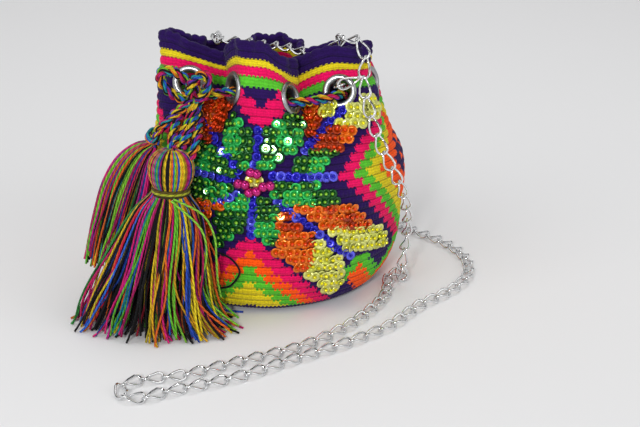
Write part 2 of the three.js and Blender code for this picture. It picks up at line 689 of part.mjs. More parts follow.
// Veins run over the fields, out of a plate under the middle of the flower
const veinOut = SEQUIN_GAP + SEQUIN_THICKNESS + VEIN_GAP;
const veinEnds = [[0, 27], [60, 36], [45, 2], [60, -47], [0, -33], [-60, -47], [-45, 2], [-50, 30]];
const veins = veinEnds.map(([x, y]) => {
  const end = new THREE.Vector2(x, y);
  const side = new THREE.Vector2(-y, x).setLength(VEIN_WIDTH / 2);
  const start = end.clone().setLength(VEIN_HUB * (Math.abs(x) > y && y > VEIN_WIDTH ? 1.04 : 0.85));
  return solid(sewnField([
    [start.x - side.x, start.y - side.y], [x - side.x, y - side.y],
    [x + side.x, y + side.y], [start.x + side.x, start.y + side.y],
  ], veinOut));
});
veins.push(solid(sewnField(
  [[-VEIN_HUB, -VEIN_HUB], [VEIN_HUB, -VEIN_HUB], [VEIN_HUB, VEIN_HUB], [-VEIN_HUB, VEIN_HUB]],
  veinOut + HUB_INSET,
  SEQUIN_THICKNESS - 2 * HUB_INSET,
)));
addPart('sequin_veins', fromSolid(join(veins)), 0x3a3fd0, 0.3);

const pearlOut = veinOut + SEQUIN_THICKNESS + GAP + PEARL_DIAMETER / 2;
const pearlSpots = [
  [-3.3, 5.2], [0, 4.4], [-9.6, -0.5], [-6.4, -1.5], [-4.3, -5], [-0.5, -4.2], [3.2, -2.2], [6.5, -1.7],
];
const pearls = pearlSpots.map((spot) => {
  const centre = sewnPoint(spot, pearlOut);
  return solid(new THREE.OctahedronGeometry(PEARL_DIAMETER / 2, 1).translate(centre.x, centre.y, centre.z));
});
const backings = [[[-11, -4], [8, -4], [8, 2], [-11, 2]], [[-6, -7], [2, -7], [2, 7], [-6, 7]]]
  .map((corners) => solid(sewnField(corners, pearlOut - SEQUIN_THICKNESS / 2)));
addPart('pearl_cluster', fromSolid(join([...pearls, ...backings])), 0xd0287c, 0.25);

export default group;
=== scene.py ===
"""Looks of a small crocheted bucket bag with a drawstring, two tassels, sewn sequins and a chain strap.

Shapes are worked out in millimetres in the part's own frame and turned to metres when a mesh is made.
Angles are degrees round the bag from its front, and levels are heights up its wall.
"""

import math

import bpy
import numpy as np
from mathutils import Matrix, Vector


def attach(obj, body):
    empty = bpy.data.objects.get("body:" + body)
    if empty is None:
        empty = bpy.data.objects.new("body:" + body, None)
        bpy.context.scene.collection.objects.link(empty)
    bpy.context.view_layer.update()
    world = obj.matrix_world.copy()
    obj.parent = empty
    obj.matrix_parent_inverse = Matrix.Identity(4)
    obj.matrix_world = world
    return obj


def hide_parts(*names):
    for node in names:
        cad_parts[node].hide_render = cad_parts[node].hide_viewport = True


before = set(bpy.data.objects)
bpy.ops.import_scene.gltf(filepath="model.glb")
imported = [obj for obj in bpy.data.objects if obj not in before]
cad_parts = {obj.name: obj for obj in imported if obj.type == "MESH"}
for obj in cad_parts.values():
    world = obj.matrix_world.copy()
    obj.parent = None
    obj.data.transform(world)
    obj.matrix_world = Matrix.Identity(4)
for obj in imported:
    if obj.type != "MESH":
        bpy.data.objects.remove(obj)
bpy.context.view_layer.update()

bl_info = {
    "name": "Crocheted bucket bag",
    "version": (1, 0, 0),
    "blender": (4, 5, 0),
    "location": "3D View > Sidebar > Bag",
    "description": "Builds a crocheted drawstring bag with tassels, sewn sequins and a chain strap",
    "category": "Mesh",
}

LOBES = 6
EYELETS = 12
FLOWER_ANGLE = -2
FLOWER_LEVEL = 79.5
# Angle, depth and width of the deepest folds of the mouth, and of the dips of its edge
SLUMPS = ((25, 14, 13), (-29, 7, 12))
RIM_FALLS = ((85, 3, 45), (-115, 6, 35), (180, 2.5, 40))
# Where the edge over the eyelets stands higher or lower than the wall below it
EDGE_LIFTS = ((25, 4.5, 10), (13, -2.8, 9), (-38, -2.5, 16), (-29, -2.5, 8), (-75, 2, 14))
# Where that edge draws in, and how far over the eyelets it starts and wavers up and down
EDGE_DRAWS = ((-82, 3.6, 30),)
EDGE_START = 6
EDGE_WAVER = 0.8
# How far over the eyelets the edge starts to wave in and out, and how far it does
RUFFLE_START = 9
RUFFLE = 1.1
# From these levels over the eyelets on, the rounds are drawn out, and then pressed together
DRAWN_FROM = -2
DRAWN_SHARE = 0.86
PRESSED_FROM = 12.2
PRESSED_SHARE = 1.37
# Shape of the folds, and how much the rim dips between two of them
LOBE_POWER = 1.2
LOBE_DIP = 1.5
# How far the belly stands aside, the mouth is pressed flat, and the rim rises to the front and to the left
BELLY_ASIDE = 5
MOUTH_FLATTENING = 0.12
RISE_FRONT = 10
RISE_LEFT = 3.3
# Steps of the wall's outline between two of its places
OUTLINE_STEPS = 40


def linear(code):
    """Linear colour of an sRGB hex code."""
    shares = [int(code[i:i + 2], 16) / 255 for i in (0, 2, 4)]
    return tuple(s / 12.92 if s <= 0.04045 else ((s + 0.055) / 1.055) ** 2.4 for s in shares)


def length(name, description, millimetres):
    return bpy.props.FloatProperty(
        name=name, description=description, default=millimetres / 1000, min=0, unit="LENGTH", precision=5)


def colour(name, description, code):
    return bpy.props.FloatVectorProperty(
        name=name, description=description, default=linear(code), subtype="COLOR", min=0, max=1)


def count(name, description, number):
    return bpy.props.IntProperty(name=name, description=description, default=number, min=1)


def watts(name, description, power):
    return bpy.props.FloatProperty(name=name, description=description, default=power, min=0, unit="POWER")


def factor(name, description, share):
    return bpy.props.FloatProperty(
        name=name, description=description, default=share, min=0, subtype="FACTOR")


# Sizes and colours


class BagShape(bpy.types.PropertyGroup):
    height: length("Height", "Level of the rim before the mouth leans", 148)
    base_radius: length("Base radius", "Flat part of the base", 60)
    foot_radius: length("Foot radius", "Where the rounded foot turns into the wall", 75.5)
    foot_height: length("Foot height", "Height of the rounded foot", 20)
    belly_radius: length("Belly radius", "Widest part of the wall", 77.5)
    belly_level: length("Belly level", "Height of the widest part", 50)
    shoulder_radius: length("Shoulder radius", "Where the wall starts to draw in", 77)
    shoulder_drop: length("Shoulder drop", "Shoulder below the rim", 68)
    neck_radius: length("Neck radius", "Mean radius at the eyelets", 56)
    rim_radius: length("Rim radius", "Mean radius of the rim", 55)
    wall: length("Wall", "Thickness of the crochet", 3.2)
    gather_depth: length("Gather depth", "How far the folds go in and out", 13)
    gather_drop: length("Gather drop", "Start of the folds below the rim", 66)
    gather_fade: length("Gather fade", "Height over which the folds grow", 40)
    eyelet_drop: length("Eyelet drop", "Middle of the eyelets below the rim", 24)
    stitches: count("Stitches", "Stitches in one round of crochet", 180)
    row: length("Row", "Height of one round of crochet", 4.7)
    relief: length("Relief", "How far a round of crochet stands out", 0.9)


class CordShape(bpy.types.PropertyGroup):
    diameter: length("Cord diameter", "Drawstring over its strands", 5)
    cord_turn: length("Cord turn", "Length of one turn of the plies", 13)
    ply_turn: length("Ply turn", "Length of one turn of the strands in a ply", 7)
    strand: length("Tassel strand", "Thickness of one strand of a tassel", 1.25)
    front_strands: count("Front strands", "Strands of the front tassel", 400)
    rear_strands: count("Rear strands", "Strands of the rear tassel", 190)


class ChainShape(bpy.types.PropertyGroup):
    link_length: length("Link length", "Outside length of a link", 13.4)
    link_width: length("Link width", "Outside width of a link", 8)
    wire: length("Link wire", "Thickness of the wire", 1.45)
    bite: length("Link bite", "How far two links are pressed together", 0.35)


class FlowerShape(bpy.types.PropertyGroup):
    sequin: length("Sequin", "Diameter of a sequin", 5.9)
    spacing: length("Sequin spacing", "Between sequins of a row", 3.9)
    bead: length("Bead", "Diameter of the seed bead that holds a sequin", 2.1)
    pearl: length("Pearl", "Diameter of a pearl in the middle", 5.7)


class YarnColours(bpy.types.PropertyGroup):
    purple: colour("Purple", "Ground of the crochet", "250A50")
    pink: colour("Pink", "Pink yarn", "E0085A")
    yellow: colour("Yellow", "Yellow yarn", "DECA1C")
    green: colour("Green", "Green yarn", "54B82C")
    orange: colour("Orange", "Orange yarn", "FA5408")


# Each sequin colour has a shining copy, which is painted reflection, and a dark copy, which is painted
# shade, of one film
class FlowerColours(bpy.types.PropertyGroup):
    green: colour("Green sequin", "Leaves where the film shines", "2CC45C")
    green_dark: colour("Dark green sequin", "Leaves where the film is dark", "0F5E22")
    green_bead: colour("Green bead", "Beads of the leaves", "8CCB38")
    orange: colour("Orange sequin", "Inner petals where the film shines", "FF7A14")
    orange_dark: colour("Dark orange sequin", "Inner petals where the film is dark", "B43A08")
    orange_bead: colour("Orange bead", "Beads of the inner petals", "F2480C")
    yellow: colour("Yellow sequin", "Outer petals where the film shines", "F9FD90")
    yellow_dark: colour("Deep yellow sequin", "Outer petals where the film is deep", "F0F766")
    yellow_bead: colour("Yellow bead", "Beads of the outer petals", "F0E610")
    blue: colour("Blue sequin", "Veins where the film shines", "6266FF")
    blue_dark: colour("Dark blue sequin", "Veins where the film is dark", "3430D8")
    blue_bead: colour("Blue bead", "Beads of the veins", "1C1AB4")
    pearl: colour("Pearl", "Middle of the flower", "C8127A")


class StageSettings(bpy.types.PropertyGroup):
    floor: colour("Floor", "Paper under the bag", "EDEDEE")
    key: watts("Key light", "Power of the main softbox", 4.2)
    fill: watts("Fill light", "Power of the side softbox", 3)
    top: watts("Top light", "Power of the top softbox", 4)
    front: watts("Front light", "Power of the small front lamp", 5)
    sky: factor("Sky", "Light from all round", 0.78)
    backdrop: factor("Backdrop", "Paleness of the room in shiny things", 0.8)


# Curves and the wall


def smooth(start, end, value):
    share = np.clip((value - start) / (end - start), 0, 1)
    return share * share * (3 - 2 * share)


def unit(vectors):
    return vectors / np.linalg.norm(vectors, axis=-1, keepdims=True)


def flowing(points, steps, closed=False):
    """Centripetal curve through points, with a number of steps between each two."""
    points = np.asarray(points, float)
    if closed:
        row = np.concatenate([points[-1:], points, points[:2]])
    else:
        row = np.concatenate([[2 * points[0] - points[1]], points, [2 * points[-1] - points[-2]]])
    share = (np.arange(steps) / steps)[:, None]
    spans = []
    for a, b, c, d in zip(row, row[1:], row[2:], row[3:]):
        first, middle, last = [max(np.linalg.norm(q - p), 1e-6) ** 0.5 for p, q in ((a, b), (b, c), (c, d))]
        leave = ((b - a) / first - (c - a) / (first + middle) + (c - b) / middle) * middle
        reach = ((c - b) / middle - (d - b) / (middle + last) + (d - c) / last) * middle
        spans.append(b + leave * share + (3 * (c - b) - 2 * leave - reach) * share ** 2
                     + (2 * (b - c) + leave + reach) * share ** 3)
    if not closed:
        spans.append(points[-1:])
    return np.concatenate(spans)


def spaced(path, step):
    """Points along a path at an even step, and the path's length."""
    run = np.concatenate([[0], np.cumsum(np.linalg.norm(np.diff(path, axis=0), axis=1))])
    stops = np.linspace(0, run[-1], max(int(round(run[-1] / step)), 2) + 1)
    return np.stack([np.interp(stops, run, path[:, i]) for i in range(3)], axis=1), run[-1]


def carried(path):
    """Two directions across a path, carried along it without twisting."""
    along = unit(np.gradient(path, axis=0))
    side = np.cross(along[0], [0.3, 0.2, 1.0])
    sides = []
    for way in along:
        side = unit(side - way * (side @ way))
        sides.append(side)
    sides = np.array(sides)
    return sides, np.cross(along, sides)


class Wall:
    """Outer wall of the gathered bag."""

    def __init__(self, shape):
        for key in BagShape.__annotations__:
            setattr(self, key, getattr(shape, key) * 1000)
        self.stitches = shape.stitches
        self.eyelet_level = self.height - self.eyelet_drop
        outline = flowing([
            (self.base_radius, 0, 0),
            ((self.base_radius + self.foot_radius) / 2, 0, self.foot_height / 4),
            (self.foot_radius, 0, self.foot_height),
            (self.belly_radius, 0, self.belly_level),
            (self.shoulder_radius, 0, self.height - self.shoulder_drop),
            (self.neck_radius, 0, self.eyelet_level),
            (self.rim_radius, 0, self.height),
        ], OUTLINE_STEPS)
        # The outline runs on straight over the rim, for places above it
        outline = np.concatenate([outline, outline[-1:] + OUTLINE_STEPS * (outline[-1:] - outline[-2:-1])])
        self.radii, self.levels = outline[:, 0], outline[:, 2]
        steps = np.linalg.norm(np.diff(outline, axis=0), axis=1)
        steps[outline[1:, 2] > self.eyelet_level + DRAWN_FROM] *= DRAWN_SHARE
        steps[outline[1:, 2] > self.eyelet_level + PRESSED_FROM] *= PRESSED_SHARE
        self.run = np.concatenate([[0], np.cumsum(steps)])

    def level_of_row(self, row):
        return np.interp(np.asarray(row) * self.row, self.run, self.levels)

    def row_of_level(self, level):
        return np.interp(level, self.levels, self.run) / self.row

    def point(self, angle, level):
        angle, level = np.broadcast_arrays(np.asarray(angle, float), np.asarray(level, float))
        turn = np.radians(angle)
        wave = 2 * np.abs(np.cos(LOBES / 2 * turn)) ** LOBE_POWER - 1
        start = self.height - self.gather_drop
        fold = smooth(start, start + self.gather_fade, level)
        loose = smooth(start, self.height, level)
        share = level / self.height
        edge = smooth(self.eyelet_level + EDGE_START, self.height, level)

        def swell(places):
            """Bumps about several angles, each with its height and width."""
            gaps = [((angle - at + 180) % 360 - 180) / wide for at, _, wide in places]
            return sum(high * np.exp(-gap ** 2) for gap, (_, high, _) in zip(gaps, places))

        radius = np.interp(level, self.levels, self.radii) + self.gather_depth * fold * wave
        radius = radius - edge * swell(EDGE_DRAWS)
        waver = EDGE_WAVER * np.sin(19 * turn + 1.4 * np.sin(4 * turn))
        dip = loose * (LOBE_DIP * (1 - wave) + swell(SLUMPS))
        dip = dip + smooth(self.eyelet_level, self.height, level) * swell(RIM_FALLS)
        dip = dip - edge * (swell(EDGE_LIFTS) + waver)
        return np.stack([
            radius * np.sin(turn) + BELLY_ASIDE * np.sin(np.pi * np.minimum(share, 1)),
            -radius * np.cos(turn) * (1 - MOUTH_FLATTENING * loose),
            level + share * (RISE_FRONT * np.cos(turn) - RISE_LEFT * np.sin(turn)) - dip,
        ], axis=-1)

    def normal(self, angle, level):
        level = np.asarray(level, float)
        across = self.point(np.asarray(angle) + 0.05, level) - self.point(np.asarray(angle) - 0.05, level)
        up = self.point(angle, level + 0.05) - self.point(angle, np.maximum(level - 0.05, 0))
        return unit(np.cross(across, up))

    def offset(self, angle, level, out):
        return self.point(angle, level) + self.normal(angle, level) * np.asarray(out, float)[..., None]

    def ruffle(self, angle, level):
        """How far the loose edge over the eyelets waves in and out."""
        turn = np.radians(angle)
        wave = np.sin(29 * turn + 1.6 * np.sin(3 * turn)) + 0.4 * np.sin(47 * turn + 1)
        return RUFFLE * wave * smooth(self.eyelet_level + RUFFLE_START, self.height, level)

    def below_rim(self, angle, drop, out):
        return self.offset(angle, self.height - drop, out)

    def ground(self, angle, out, level):
        """A place over the floor, outside the widest part of the wall."""
        reach = max(self.foot_radius, self.belly_radius, self.shoulder_radius) + out
        turn = math.radians(angle)
        return np.array([reach * math.sin(turn), -reach * math.cos(turn), level])

    def eyelets(self):
        """Angle, middle and outward axis of each eyelet."""
        for i in range(EYELETS):
            angle = 360 / EYELETS * (i + 0.5) - 180
            middle = self.offset(angle, self.eyelet_level, -self.wall / 2)
            yield angle, middle, self.normal(angle, self.eyelet_level)


# Meshes and node trees


def circle_points(radius, height, sides):
    """Corners on a circle about +Z."""
    turns = [2 * math.pi * i / sides for i in range(sides)]
    return [(radius * math.cos(turn), radius * math.sin(turn), height) for turn in turns]


def tube_faces(rounds, sides):
    """Faces between rings of corners, closed along the rings and across them."""
    return [(i * sides + j, (i + 1) % rounds * sides + j, (i + 1) % rounds * sides + (j + 1) % sides,
             i * sides + (j + 1) % sides) for i in range(rounds) for j in range(sides)]


def capped_faces(first, rounds, sides, tip=None, tail=None):
    """Faces of rings of corners from a first one on, closed by a tip before them and a tail after them."""
    last = first + (rounds - 1) * sides
    faces = []
    for i in range(sides):
        k = (i + 1) % sides
        faces.extend((j + i, j + sides + i, j + sides + k, j + k) for j in range(first, last, sides))
        if tip is not None:
            faces.append((tip, first + i, first + k))
        if tail is not None:
            faces.append((tail, last + k, last + i))
    return faces


def mesh_piece(name, points, faces, material, corner_colours=None, corner_uv=None):
    """A smooth mesh from points in millimetres and faces of three or four corners."""
    mesh = bpy.data.meshes.new(name)
    mesh.from_pydata((np.asarray(points) / 1000).tolist(), [], [[int(k) for k in face] for face in faces])
    if corner_colours is not None:
        layer = mesh.attributes.new("yarn", "FLOAT_COLOR", "CORNER")
        full = np.ones((len(corner_colours), 4), np.float32)
        full[:, :3] = corner_colours
        layer.data.foreach_set("color", full.ravel())
    if corner_uv is not None:
        layer = mesh.uv_layers.new(name="stitch")
        layer.data.foreach_set("uv", np.asarray(corner_uv, np.float32).ravel())
    mesh.materials.append(material)
    mesh.shade_smooth()
    mesh.update()
    piece = bpy.data.objects.new(name, mesh)
    bpy.context.scene.collection.objects.link(piece)
    return piece


def point_object(name, points, edges=(), **attributes):
    """Loose points, with an attribute for each array given: one number, three or four for each point."""
    mesh = bpy.data.meshes.new(name)
    mesh.from_pydata((np.asarray(points) / 1000).tolist(), list(edges), [])
    for key, values in attributes.items():
        values = np.asarray(values, np.float32)
        kind, field = {1: ("FLOAT", "value"), 2: ("FLOAT_VECTOR", "vector")}[min(values.ndim, 2)]
        if values.ndim == 2 and values.shape[1] == 4:
            kind, field = "FLOAT_COLOR", "color"
        mesh.attributes.new(key, kind, "POINT").data.foreach_set(field, values.ravel())
    holder = bpy.data.objects.new(name, mesh)
    bpy.context.scene.collection.objects.link(holder)
    return holder


def add(tree, kind, values=None, links=None, **settings):
    """Adds a node with its settings, its constant inputs and the sockets linked into it."""
    node = tree.nodes.new(kind)
    for key, value in settings.items():
        setattr(node, key, value)
    for key, value in (values or {}).items():
        node.inputs[key].default_value = value
    for key, source in (links or {}).items():
        tree.links.new(source, node.inputs[key])
    return node


def node_tree(name, inputs):
    tree = bpy.data.node_groups.new(name, "GeometryNodeTree")
    tree.interface.new_socket("Geometry", in_out="INPUT", socket_type="NodeSocketGeometry")
    for label, kind in inputs.items():
        tree.interface.new_socket(label, in_out="INPUT", socket_type="NodeSocket" + kind)
    tree.interface.new_socket("Geometry", in_out="OUTPUT", socket_type="NodeSocketGeometry")
    return tree, add(tree, "NodeGroupInput").outputs


def end_tree(tree, geometry, material):
    whole = add(tree, "GeometryNodeRealizeInstances", links={"Geometry": geometry})
    shaded = add(tree, "GeometryNodeSetShadeSmooth", links={"Geometry": whole.outputs[0]})
    dressed = add(tree, "GeometryNodeSetMaterial",
                  links={"Geometry": shaded.outputs[0], "Material": material})
    add(tree, "NodeGroupOutput", links={"Geometry": dressed.outputs[0]})
    return tree


def strand_tree():
    """Round strands along loose edges; run and roll keep each place's way along its strand and round it."""
    tree, given = node_tree("Yarn strands", {"Thickness": "Float", "Sides": "Int", "Material": "Material"})
    half = add(tree, "ShaderNodeMath", {1: 0.5}, {0: given["Thickness"]}, operation="MULTIPLY")
    circle = add(tree, "GeometryNodeCurvePrimitiveCircle",
                 links={"Resolution": given["Sides"], "Radius": half.outputs[0]})
    place = add(tree, "GeometryNodeInputPosition")
    section = add(tree, "GeometryNodeStoreNamedAttribute", {"Name": "roll"},
                  {"Geometry": circle.outputs[0], "Value": place.outputs[0]}, data_type="FLOAT_VECTOR")
    lines = add(tree, "GeometryNodeMeshToCurve", links={"Mesh": given["Geometry"]})
    way = add(tree, "GeometryNodeSplineParameter")
    marked = add(tree, "GeometryNodeStoreNamedAttribute", {"Name": "run"},
                 {"Geometry": lines.outputs[0], "Value": way.outputs["Length"]}, data_type="FLOAT")
    tubes = add(tree, "GeometryNodeCurveToMesh", {"Fill Caps": True},
                {"Curve": marked.outputs[0], "Profile Curve": section.outputs[0]})
    return end_tree(tree, tubes.outputs[0], given["Material"])


def scatter_tree():
    """A shape on every point, turned and scaled by the point's attributes."""
    tree, given = node_tree("Scattered shapes", {"Shape": "Object", "Material": "Material"})
    shape = add(tree, "GeometryNodeObjectInfo", links={"Object": given["Shape"]})
    turn = add(tree, "GeometryNodeInputNamedAttribute", {"Name": "turn"}, data_type="FLOAT_VECTOR")
    size = add(tree, "GeometryNodeInputNamedAttribute", {"Name": "size"}, data_type="FLOAT_VECTOR")
    copies = add(tree, "GeometryNodeInstanceOnPoints", links={
        "Points": given["Geometry"], "Instance": shape.outputs["Geometry"],
        "Rotation": turn.outputs["Attribute"], "Scale": size.outputs["Attribute"]})
    return end_tree(tree, copies.outputs[0], given["Material"])


def grown(holder, tree, **inputs):
    """Grows a tree on an object and keeps the result as its plain mesh."""
    modifier = holder.modifiers.new("Grow", "NODES")
    modifier.node_group = tree
    for item in tree.interface.items_tree:
        key = item.name.lower()
        if item.in_out == "INPUT" and key in inputs:
            modifier[item.identifier] = inputs[key]
    grid = bpy.context.evaluated_depsgraph_get()
    mesh = bpy.data.meshes.new_from_object(holder.evaluated_get(grid), depsgraph=grid)
    holder.modifiers.remove(modifier)
    spare = holder.data
    holder.data = mesh
    mesh.name = holder.name
    bpy.data.meshes.remove(spare)
    if not len(mesh.polygons):
        raise RuntimeError(holder.name + " grew no faces")
    return holder


def tree_named(name, build):
    return bpy.data.node_groups.get(name) or build()


def yarn_piece(name, strands, thickness, sides, material):
    """Strands of yarn, each a list of points and a colour."""
    points, edges, colours = [], [], []
    for line, shade in strands:
        first = len(points)
        points.extend(line)
        edges.extend((first + i, first + i + 1) for i in range(len(line) - 1))
        colours.extend([(*shade, 1)] * len(line))
    holder = point_object(name, points, edges, yarn=colours)
    return grown(holder, tree_named("Yarn strands", strand_tree),
                 thickness=thickness / 1000, sides=sides, material=material)


def scattered(name, shape, spots, material):
    """Copies of a shape; each spot gives its middle, three axes, scale and any colours."""
    turns = [Matrix(np.array(spot["axes"]).T.tolist()).to_euler() for spot in spots]
    extra = {key: [(*spot[key], 1) for spot in spots] for key in spots[0] if key in ("tint", "bead_tint")}
    holder = point_object(name, [spot["middle"] for spot in spots], turn=[tuple(t) for t in turns],
                          size=[spot.get("size", (1, 1, 1)) for spot in spots], **extra)
    piece = grown(holder, tree_named("Scattered shapes", scatter_tree), shape=shape, material=material)
    bpy.data.objects.remove(shape)
    return piece


def settle(piece, slot, *nodes):
    """Puts a finished piece on the body, in place of the solids it stands for; the slot is not used."""
    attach(piece, "root")
    if nodes:
        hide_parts(*nodes)


# Materials

# Most of what a noise gives lies in this span
NOISE_SPAN = {"From Min": 0.3, "From Max": 0.7}


def material_tree(name, finish):
    """A material, its tree and its surface with a finish set; the tree is None once the material is made."""
    material = bpy.data.materials.get(name)
    if material:
        return material, None, None
    material = bpy.data.materials.new(name)
    material.use_nodes = True
    tree = material.node_tree
    surface = tree.nodes["Principled BSDF"]
    for key, value in finish.items():
        surface.inputs[key].default_value = value
    return material, tree, surface


def mottled(tree, *layers):
    """Tones that vary over a piece, each with its cells per metre, detail, lowest and highest tone."""
    place = add(tree, "ShaderNodeTexCoord").outputs["Object"]
    tones = []
    for scale, detail, low, high in layers:
        cloud = add(tree, "ShaderNodeTexNoise", {"Scale": scale, "Detail": detail}, {"Vector": place})
        tones.append(add(tree, "ShaderNodeMapRange", {**NOISE_SPAN, "To Min": low, "To Max": high},
                         {"Value": cloud.outputs[0]}))
    return tones


def toned(tree, surface, dye, tones, strength=0, depth=0):
    """Shades a colour by several tones, which also raise the surface where a depth in metres is given."""
    tone = tones[0].outputs[0]
    for part in tones[1:]:
        both = add(tree, "ShaderNodeMath", links={0: tone, 1: part.outputs[0]}, operation="MULTIPLY")
        tone = both.outputs[0]
    shade = add(tree, "ShaderNodeVectorMath", links={0: dye, "Scale": tone}, operation="SCALE")
    tree.links.new(shade.outputs[0], surface.inputs["Base Color"])
    if depth:
        relief = add(tree, "ShaderNodeBump", {"Strength": strength, "Distance": depth}, {"Height": tone})
        tree.links.new(relief.outputs[0], surface.inputs["Normal"])


def crochet_cotton():
    """Mercerised cotton worked in tight rounds: soft matt ridges of thin strands, with painted shade between
    the strands and in the grooves.
    """
    material, tree, surface = material_tree("crochet cotton", {
        "Roughness": 0.9, "Specular IOR Level": 0.15, "Sheen Weight": 0.06, "Sheen Roughness": 0.5})
    if tree is None:
        return material
    yarn = add(tree, "ShaderNodeAttribute", attribute_name="yarn")
    stitch = add(tree, "ShaderNodeUVMap", uv_map="stitch")
    split = add(tree, "ShaderNodeSeparateXYZ", links={0: stitch.outputs[0]})
    # Strands wander a little: noise in the stitch grid, drawn out along the round
    drift = add(tree, "ShaderNodeMapping", {"Scale": (0.9, 1.4, 1)}, {"Vector": stitch.outputs[0]})
    wander = add(tree, "ShaderNodeTexNoise", {"Scale": 1.0, "Detail": 3.0}, {"Vector": drift.outputs[0]})
    shift = add(tree, "ShaderNodeMath", {1: 0.5}, {0: wander.outputs[0]}, operation="MULTIPLY")
    height = add(tree, "ShaderNodeMath", links={0: split.outputs[1], 1: shift.outputs[0]}, operation="ADD")
    # Three strands lie in each round of 4.7 mm, and painted shade darkens the colour between them
    wave = add(tree, "ShaderNodeMath", {1: 6 * math.pi}, {0: height.outputs[0]}, operation="MULTIPLY")
    strand = add(tree, "ShaderNodeMath", links={0: wave.outputs[0]}, operation="SINE")
    tones = [add(tree, "ShaderNodeMapRange", {"From Min": -1, "From Max": 0.5, "To Min": 0.8, "To Max": 1.0},
                 {"Value": strand.outputs[0]})]
    # Painted shade in the gaps between two rounds, which are uneven, and fainter painted shade between two
    # stitches
    bent = add(tree, "ShaderNodeMath", {1: 0.22, 2: -0.11}, {0: wander.outputs[0]},
               operation="MULTIPLY_ADD")
    uneven = add(tree, "ShaderNodeMath", links={0: split.outputs[1], 1: bent.outputs[0]}, operation="ADD")
    for place, inner, dark in ((uneven.outputs[0], 0.34, 0.6), (split.outputs[0], 0.38, 0.86)):
        part = add(tree, "ShaderNodeMath", links={0: place}, operation="FRACT")
        side = add(tree, "ShaderNodeMath", {1: 0.5}, {0: part.outputs[0]}, operation="SUBTRACT")
        far = add(tree, "ShaderNodeMath", links={0: side.outputs[0]}, operation="ABSOLUTE")
        tones.append(add(tree, "ShaderNodeMapRange",
                         {"From Min": 0.5, "From Max": inner, "To Min": dark, "To Max": 1.0},
                         {"Value": far.outputs[0]}, interpolation_type="SMOOTHSTEP"))
    # Dye varies over about 6 mm, and fuzz over 0.7 mm
    tones += mottled(tree, (160.0, 2.0, 0.9, 1.1), (1400.0, 2.0, 0.88, 1.12))
    toned(tree, surface, yarn.outputs["Color"], tones, 0.7, 0.0006)
    return material


def cotton_yarn():
    """Two-ply spun cotton in single strands: matt and a little fuzzy, with a fine slanting groove darkened
    by painted shade.
    """
    material, tree, surface = material_tree("spun cotton yarn", {
        "Roughness": 0.8, "Specular IOR Level": 0.2, "Sheen Weight": 0.04})
    if tree is None:
        return material
    yarn = add(tree, "ShaderNodeAttribute", attribute_name="yarn")
    run = add(tree, "ShaderNodeAttribute", attribute_name="run")
    roll = add(tree, "ShaderNodeAttribute", attribute_name="roll")
    split = add(tree, "ShaderNodeSeparateXYZ", links={0: roll.outputs["Vector"]})
    around = add(tree, "ShaderNodeMath", links={0: split.outputs[1], 1: split.outputs[0]},
                 operation="ARCTAN2")
    # The groove between the two plies comes round every 4 mm, and painted shade darkens the colour in it to
    # half
    along = add(tree, "ShaderNodeMath", {1: 2 * math.pi / 0.004}, {0: run.outputs["Fac"]},
                operation="MULTIPLY")
    twist = add(tree, "ShaderNodeMath", {1: 2.0}, {0: around.outputs[0], 2: along.outputs[0]},
                operation="MULTIPLY_ADD")
    ply = add(tree, "ShaderNodeMath", links={0: twist.outputs[0]}, operation="SINE")
    groove = add(tree, "ShaderNodeMapRange", {"From Min": -1, "From Max": 0, "To Min": 0.5, "To Max": 1.0},
                 {"Value": ply.outputs[0]}, interpolation_type="SMOOTHSTEP")
    # Fibres of about 0.6 mm and slow changes of dye over 5 mm
    spots = mottled(tree, (1700.0, 2.0, 0.72, 1.05), (200.0, 1.0, 0.88, 1.1))
    toned(tree, surface, yarn.outputs["Color"], [groove, *spots], 0.5, 0.0003)
    return material


def bright_metal(name, code, low, high):
    """Plated metal, polished: clear reflections, with faint smears where it has been handled."""
    material, tree, surface = material_tree(name, {"Base Color": (*linear(code), 1), "Metallic": 1})
    if tree is None:
        return material
    where = add(tree, "ShaderNodeTexCoord")
    # Smears of about 4 mm
    smear = add(tree, "ShaderNodeTexNoise", {"Scale": 250.0, "Detail": 4.0},
                {"Vector": where.outputs["Object"]})
    rough = add(tree, "ShaderNodeMapRange",
                {"From Min": 0.35, "From Max": 0.7, "To Min": low, "To Max": high},
                {"Value": smear.outputs[0]})
    tree.links.new(rough.outputs[0], surface.inputs["Roughness"])
    return material


def sequin_film():
    """Pressed plastic film with a clear seed bead: glossy and tinted, bright where it meets the light."""
    material, tree, surface = material_tree("sequin film and seed bead", {
        "Metallic": 0.45, "Roughness": 0.14, "Specular IOR Level": 0.4, "Coat Weight": 0.25,
        "Coat Roughness": 0.05})
    if tree is None:
        return material
    tint = add(tree, "ShaderNodeAttribute", attribute_name="tint")
    bead = add(tree, "ShaderNodeAttribute", attribute_name="bead_tint")
    part = add(tree, "ShaderNodeAttribute", attribute_name="part")
    both = add(tree, "ShaderNodeMix", links={
        0: part.outputs["Fac"], 6: tint.outputs["Color"], 7: bead.outputs["Color"]}, data_type="RGBA")
    # The film is thicker and darker in patches of about 1.5 mm, and painted shade darkens the hollow round
    # its bead
    patches = mottled(tree, (650.0, 1.0, 0.85, 1.12))
    hollow = add(tree, "ShaderNodeAttribute", attribute_name="hollow")
    shadow = add(tree, "ShaderNodeMapRange", {"To Min": 1.0, "To Max": 0.62},
                 {"Value": hollow.outputs["Fac"]})
    toned(tree, surface, both.outputs[2], [*patches, shadow])
    return material


